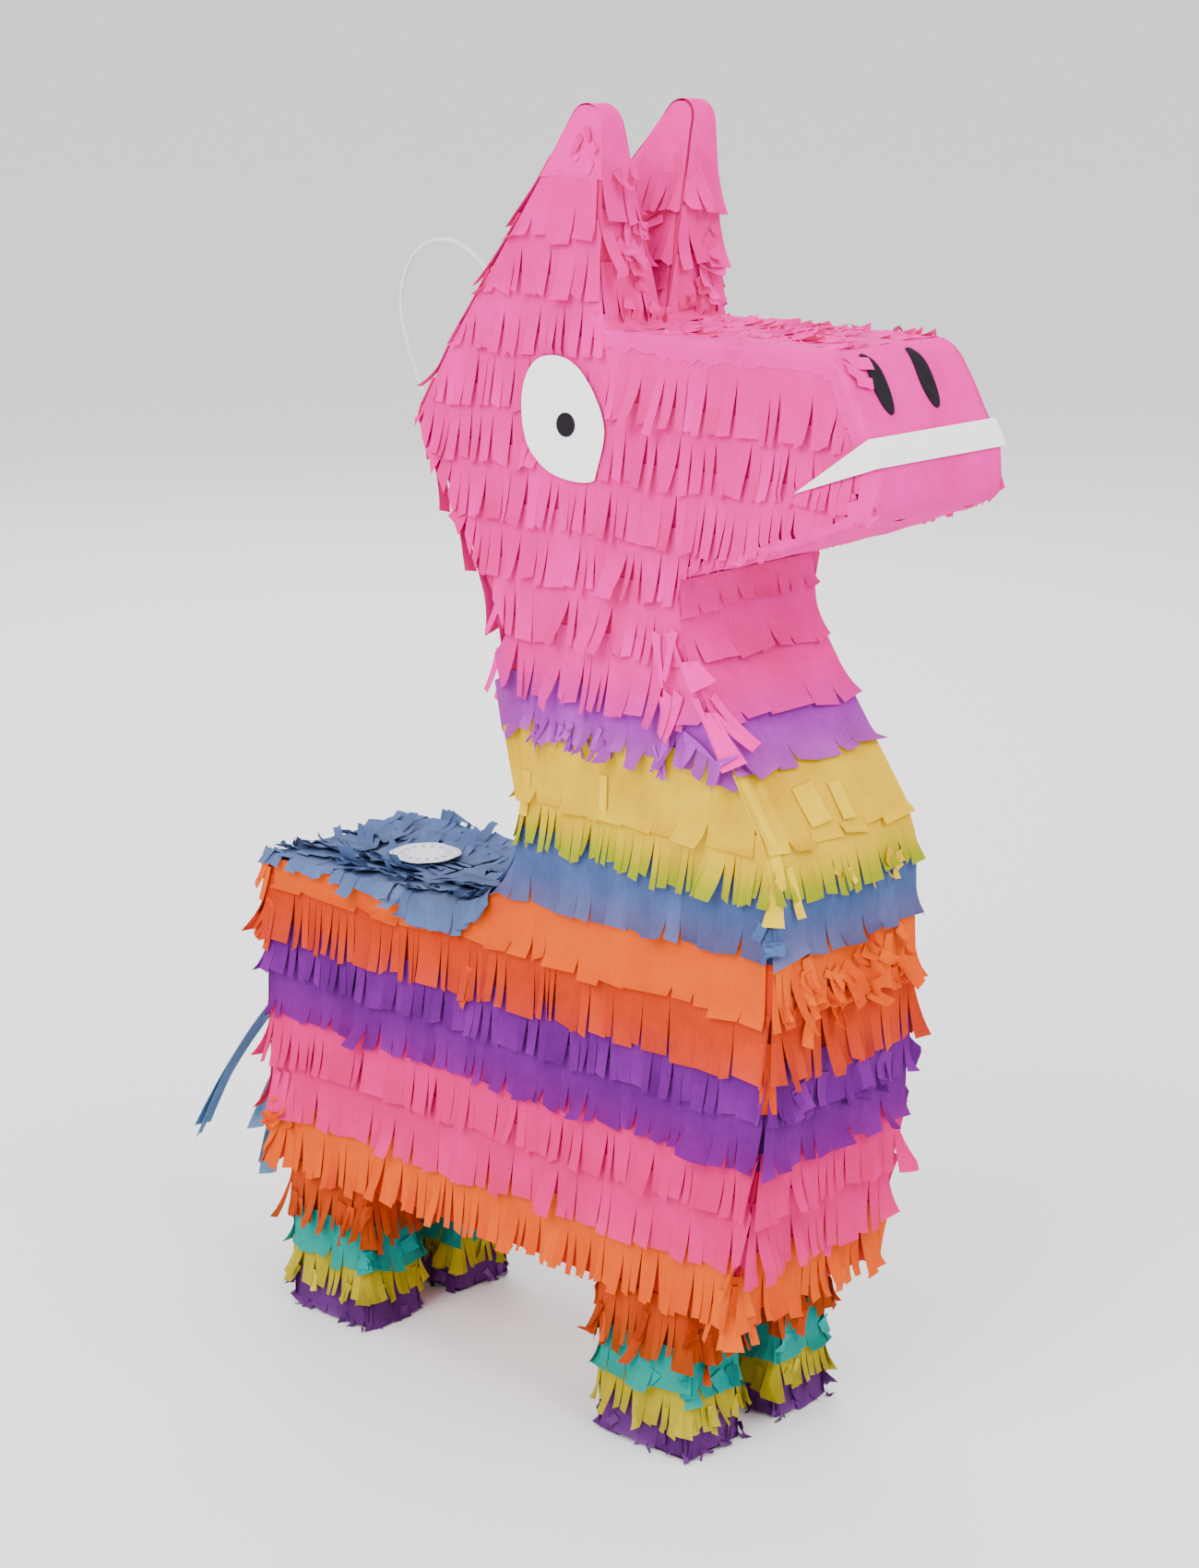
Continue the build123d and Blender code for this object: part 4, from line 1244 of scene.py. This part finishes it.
white_paper = Finish("white_craft_paper", Roughness=0.6)
tooth = white_paper.noise(260, 4, 0.6)
white_paper.feed("Base Color", white_paper.mix(tooth, shade(238, 236, 242), shade(254, 253, 255)))
white_paper.feed("Normal", white_paper.bump(tooth, 0.0003))
black_paper = Finish("black_craft_paper", Roughness=0.7)
black_paper.shader.inputs["Specular IOR Level"].default_value = 0.1
tooth = black_paper.noise(260, 4, 0.6)
black_paper.feed("Base Color", black_paper.mix(tooth, shade(18, 14, 20), shade(36, 30, 38)))
black_paper.feed("Normal", black_paper.bump(tooth, 0.0003))
# How far white paper stands off the CAD's walls, on top of the fringe
PASTED = 2.1 * MM
eyes = Cutwork(280)
eye_centre = eye_outline.mean(0)
for side in (-1, 1):
    ring = np.concatenate([eye_outline, eye_outline[:1]])
    spokes = eye_centre + (ring - eye_centre) * np.linspace(0.01, 1, 6)[:, None, None]
    eyes.grid(on_side(side)(spokes[..., 0], spokes[..., 1], PASTED), 0, 0)
eyes.make("eye_papers", "eye_whites", white_paper, thick=0.25, backing=False)
cut_paper("pupil_papers", "pupils", black_paper, 1.6)

mouth = Cutwork(281)
band_z = np.linspace(MOUTH_LOW, MOUTH_HIGH, 6)[:, None]
across = np.linspace(-1, 1, 21) * (half_y(band_z) + PASTED)
front = on_front(MOUTH_HIGH, 0)(across, band_z + 0 * across, PASTED)
corner = np.array([mouth_corner[0], -half_y(mouth_corner[1]) - PASTED, mouth_corner[1]])
cheek = corner + (front[:, :1] - corner) * np.linspace(0.01, 1, 10)[:-1, None]
other = cheek[:, ::-1] * [1, -1, 1]
mouth.grid(np.concatenate([cheek, front, other], 1), 0, 0)
mouth.make("mouth_paper", "mouth_band", white_paper, thick=0.25, backing=False)
cut_paper("nostril_papers", "nostrils", black_paper, 1.3)

# ---- Tail -----------------------------------------------------------------------------------------
# Five long strips of thin sky-blue tissue in two layers, pasted to the rump under one short
# strip, that hang loose and twist a little.
ROOT = (rump_mm(-2.4), 166 * MM)
# Place across the rump, angle out from straight down, length and bow
STREAMERS = [(-23, 38, 142, 6), (-11.5, 21, 135, 5), (0, 32, 128, 4), (11.5, 14, 138, 5),
             (23, 26, 120, 4)]
STREAMER_WIDE = 9.5 * MM
sky = tissue("sky_blue_paper", shade(84, 120, 160), shade(52, 84, 122), shade(130, 166, 198))
tail = Cutwork(270)
for y, out, long, bow in STREAMERS:
    turn = math.radians(out)
    for layer in (0, 1):
        drift, phase = tail.draw.uniform(-2, 2), tail.draw.uniform(0, 6)
        grid = np.zeros((25, 5, 3))
        for r, t in enumerate(np.linspace(0, 1 - 0.06 * layer, 25)):
            run = t * long * MM
            away = bow * MM * math.sin(math.pi * t) + layer * 0.5 * MM
            x = ROOT[0] - run * math.sin(turn) - away * math.cos(turn)
            z = ROOT[1] - run * math.cos(turn) + away * math.sin(turn)
            twist = 0.5 * t * math.sin(phase + 3 * t)
            for c, across in enumerate(np.linspace(-0.5, 0.5, 5)):
                side = across * STREAMER_WIDE
                cup = 0.6 * MM * (1 - 4 * across ** 2) * math.sin(phase + 9 * t)
                grid[r, c] = (x - side * math.sin(twist) - cup,
                              y * MM + side * math.cos(twist) + drift * MM * t * t,
                              z + cup * 0.3)
        tail.grid(grid, tail.draw.normal(0.1, 0.3), 0)
tail.make("tail_strips", "tail_streamers", sky, body="tail", backing=False,
          thick=0.2)
dress("tail_root_strip", sky)
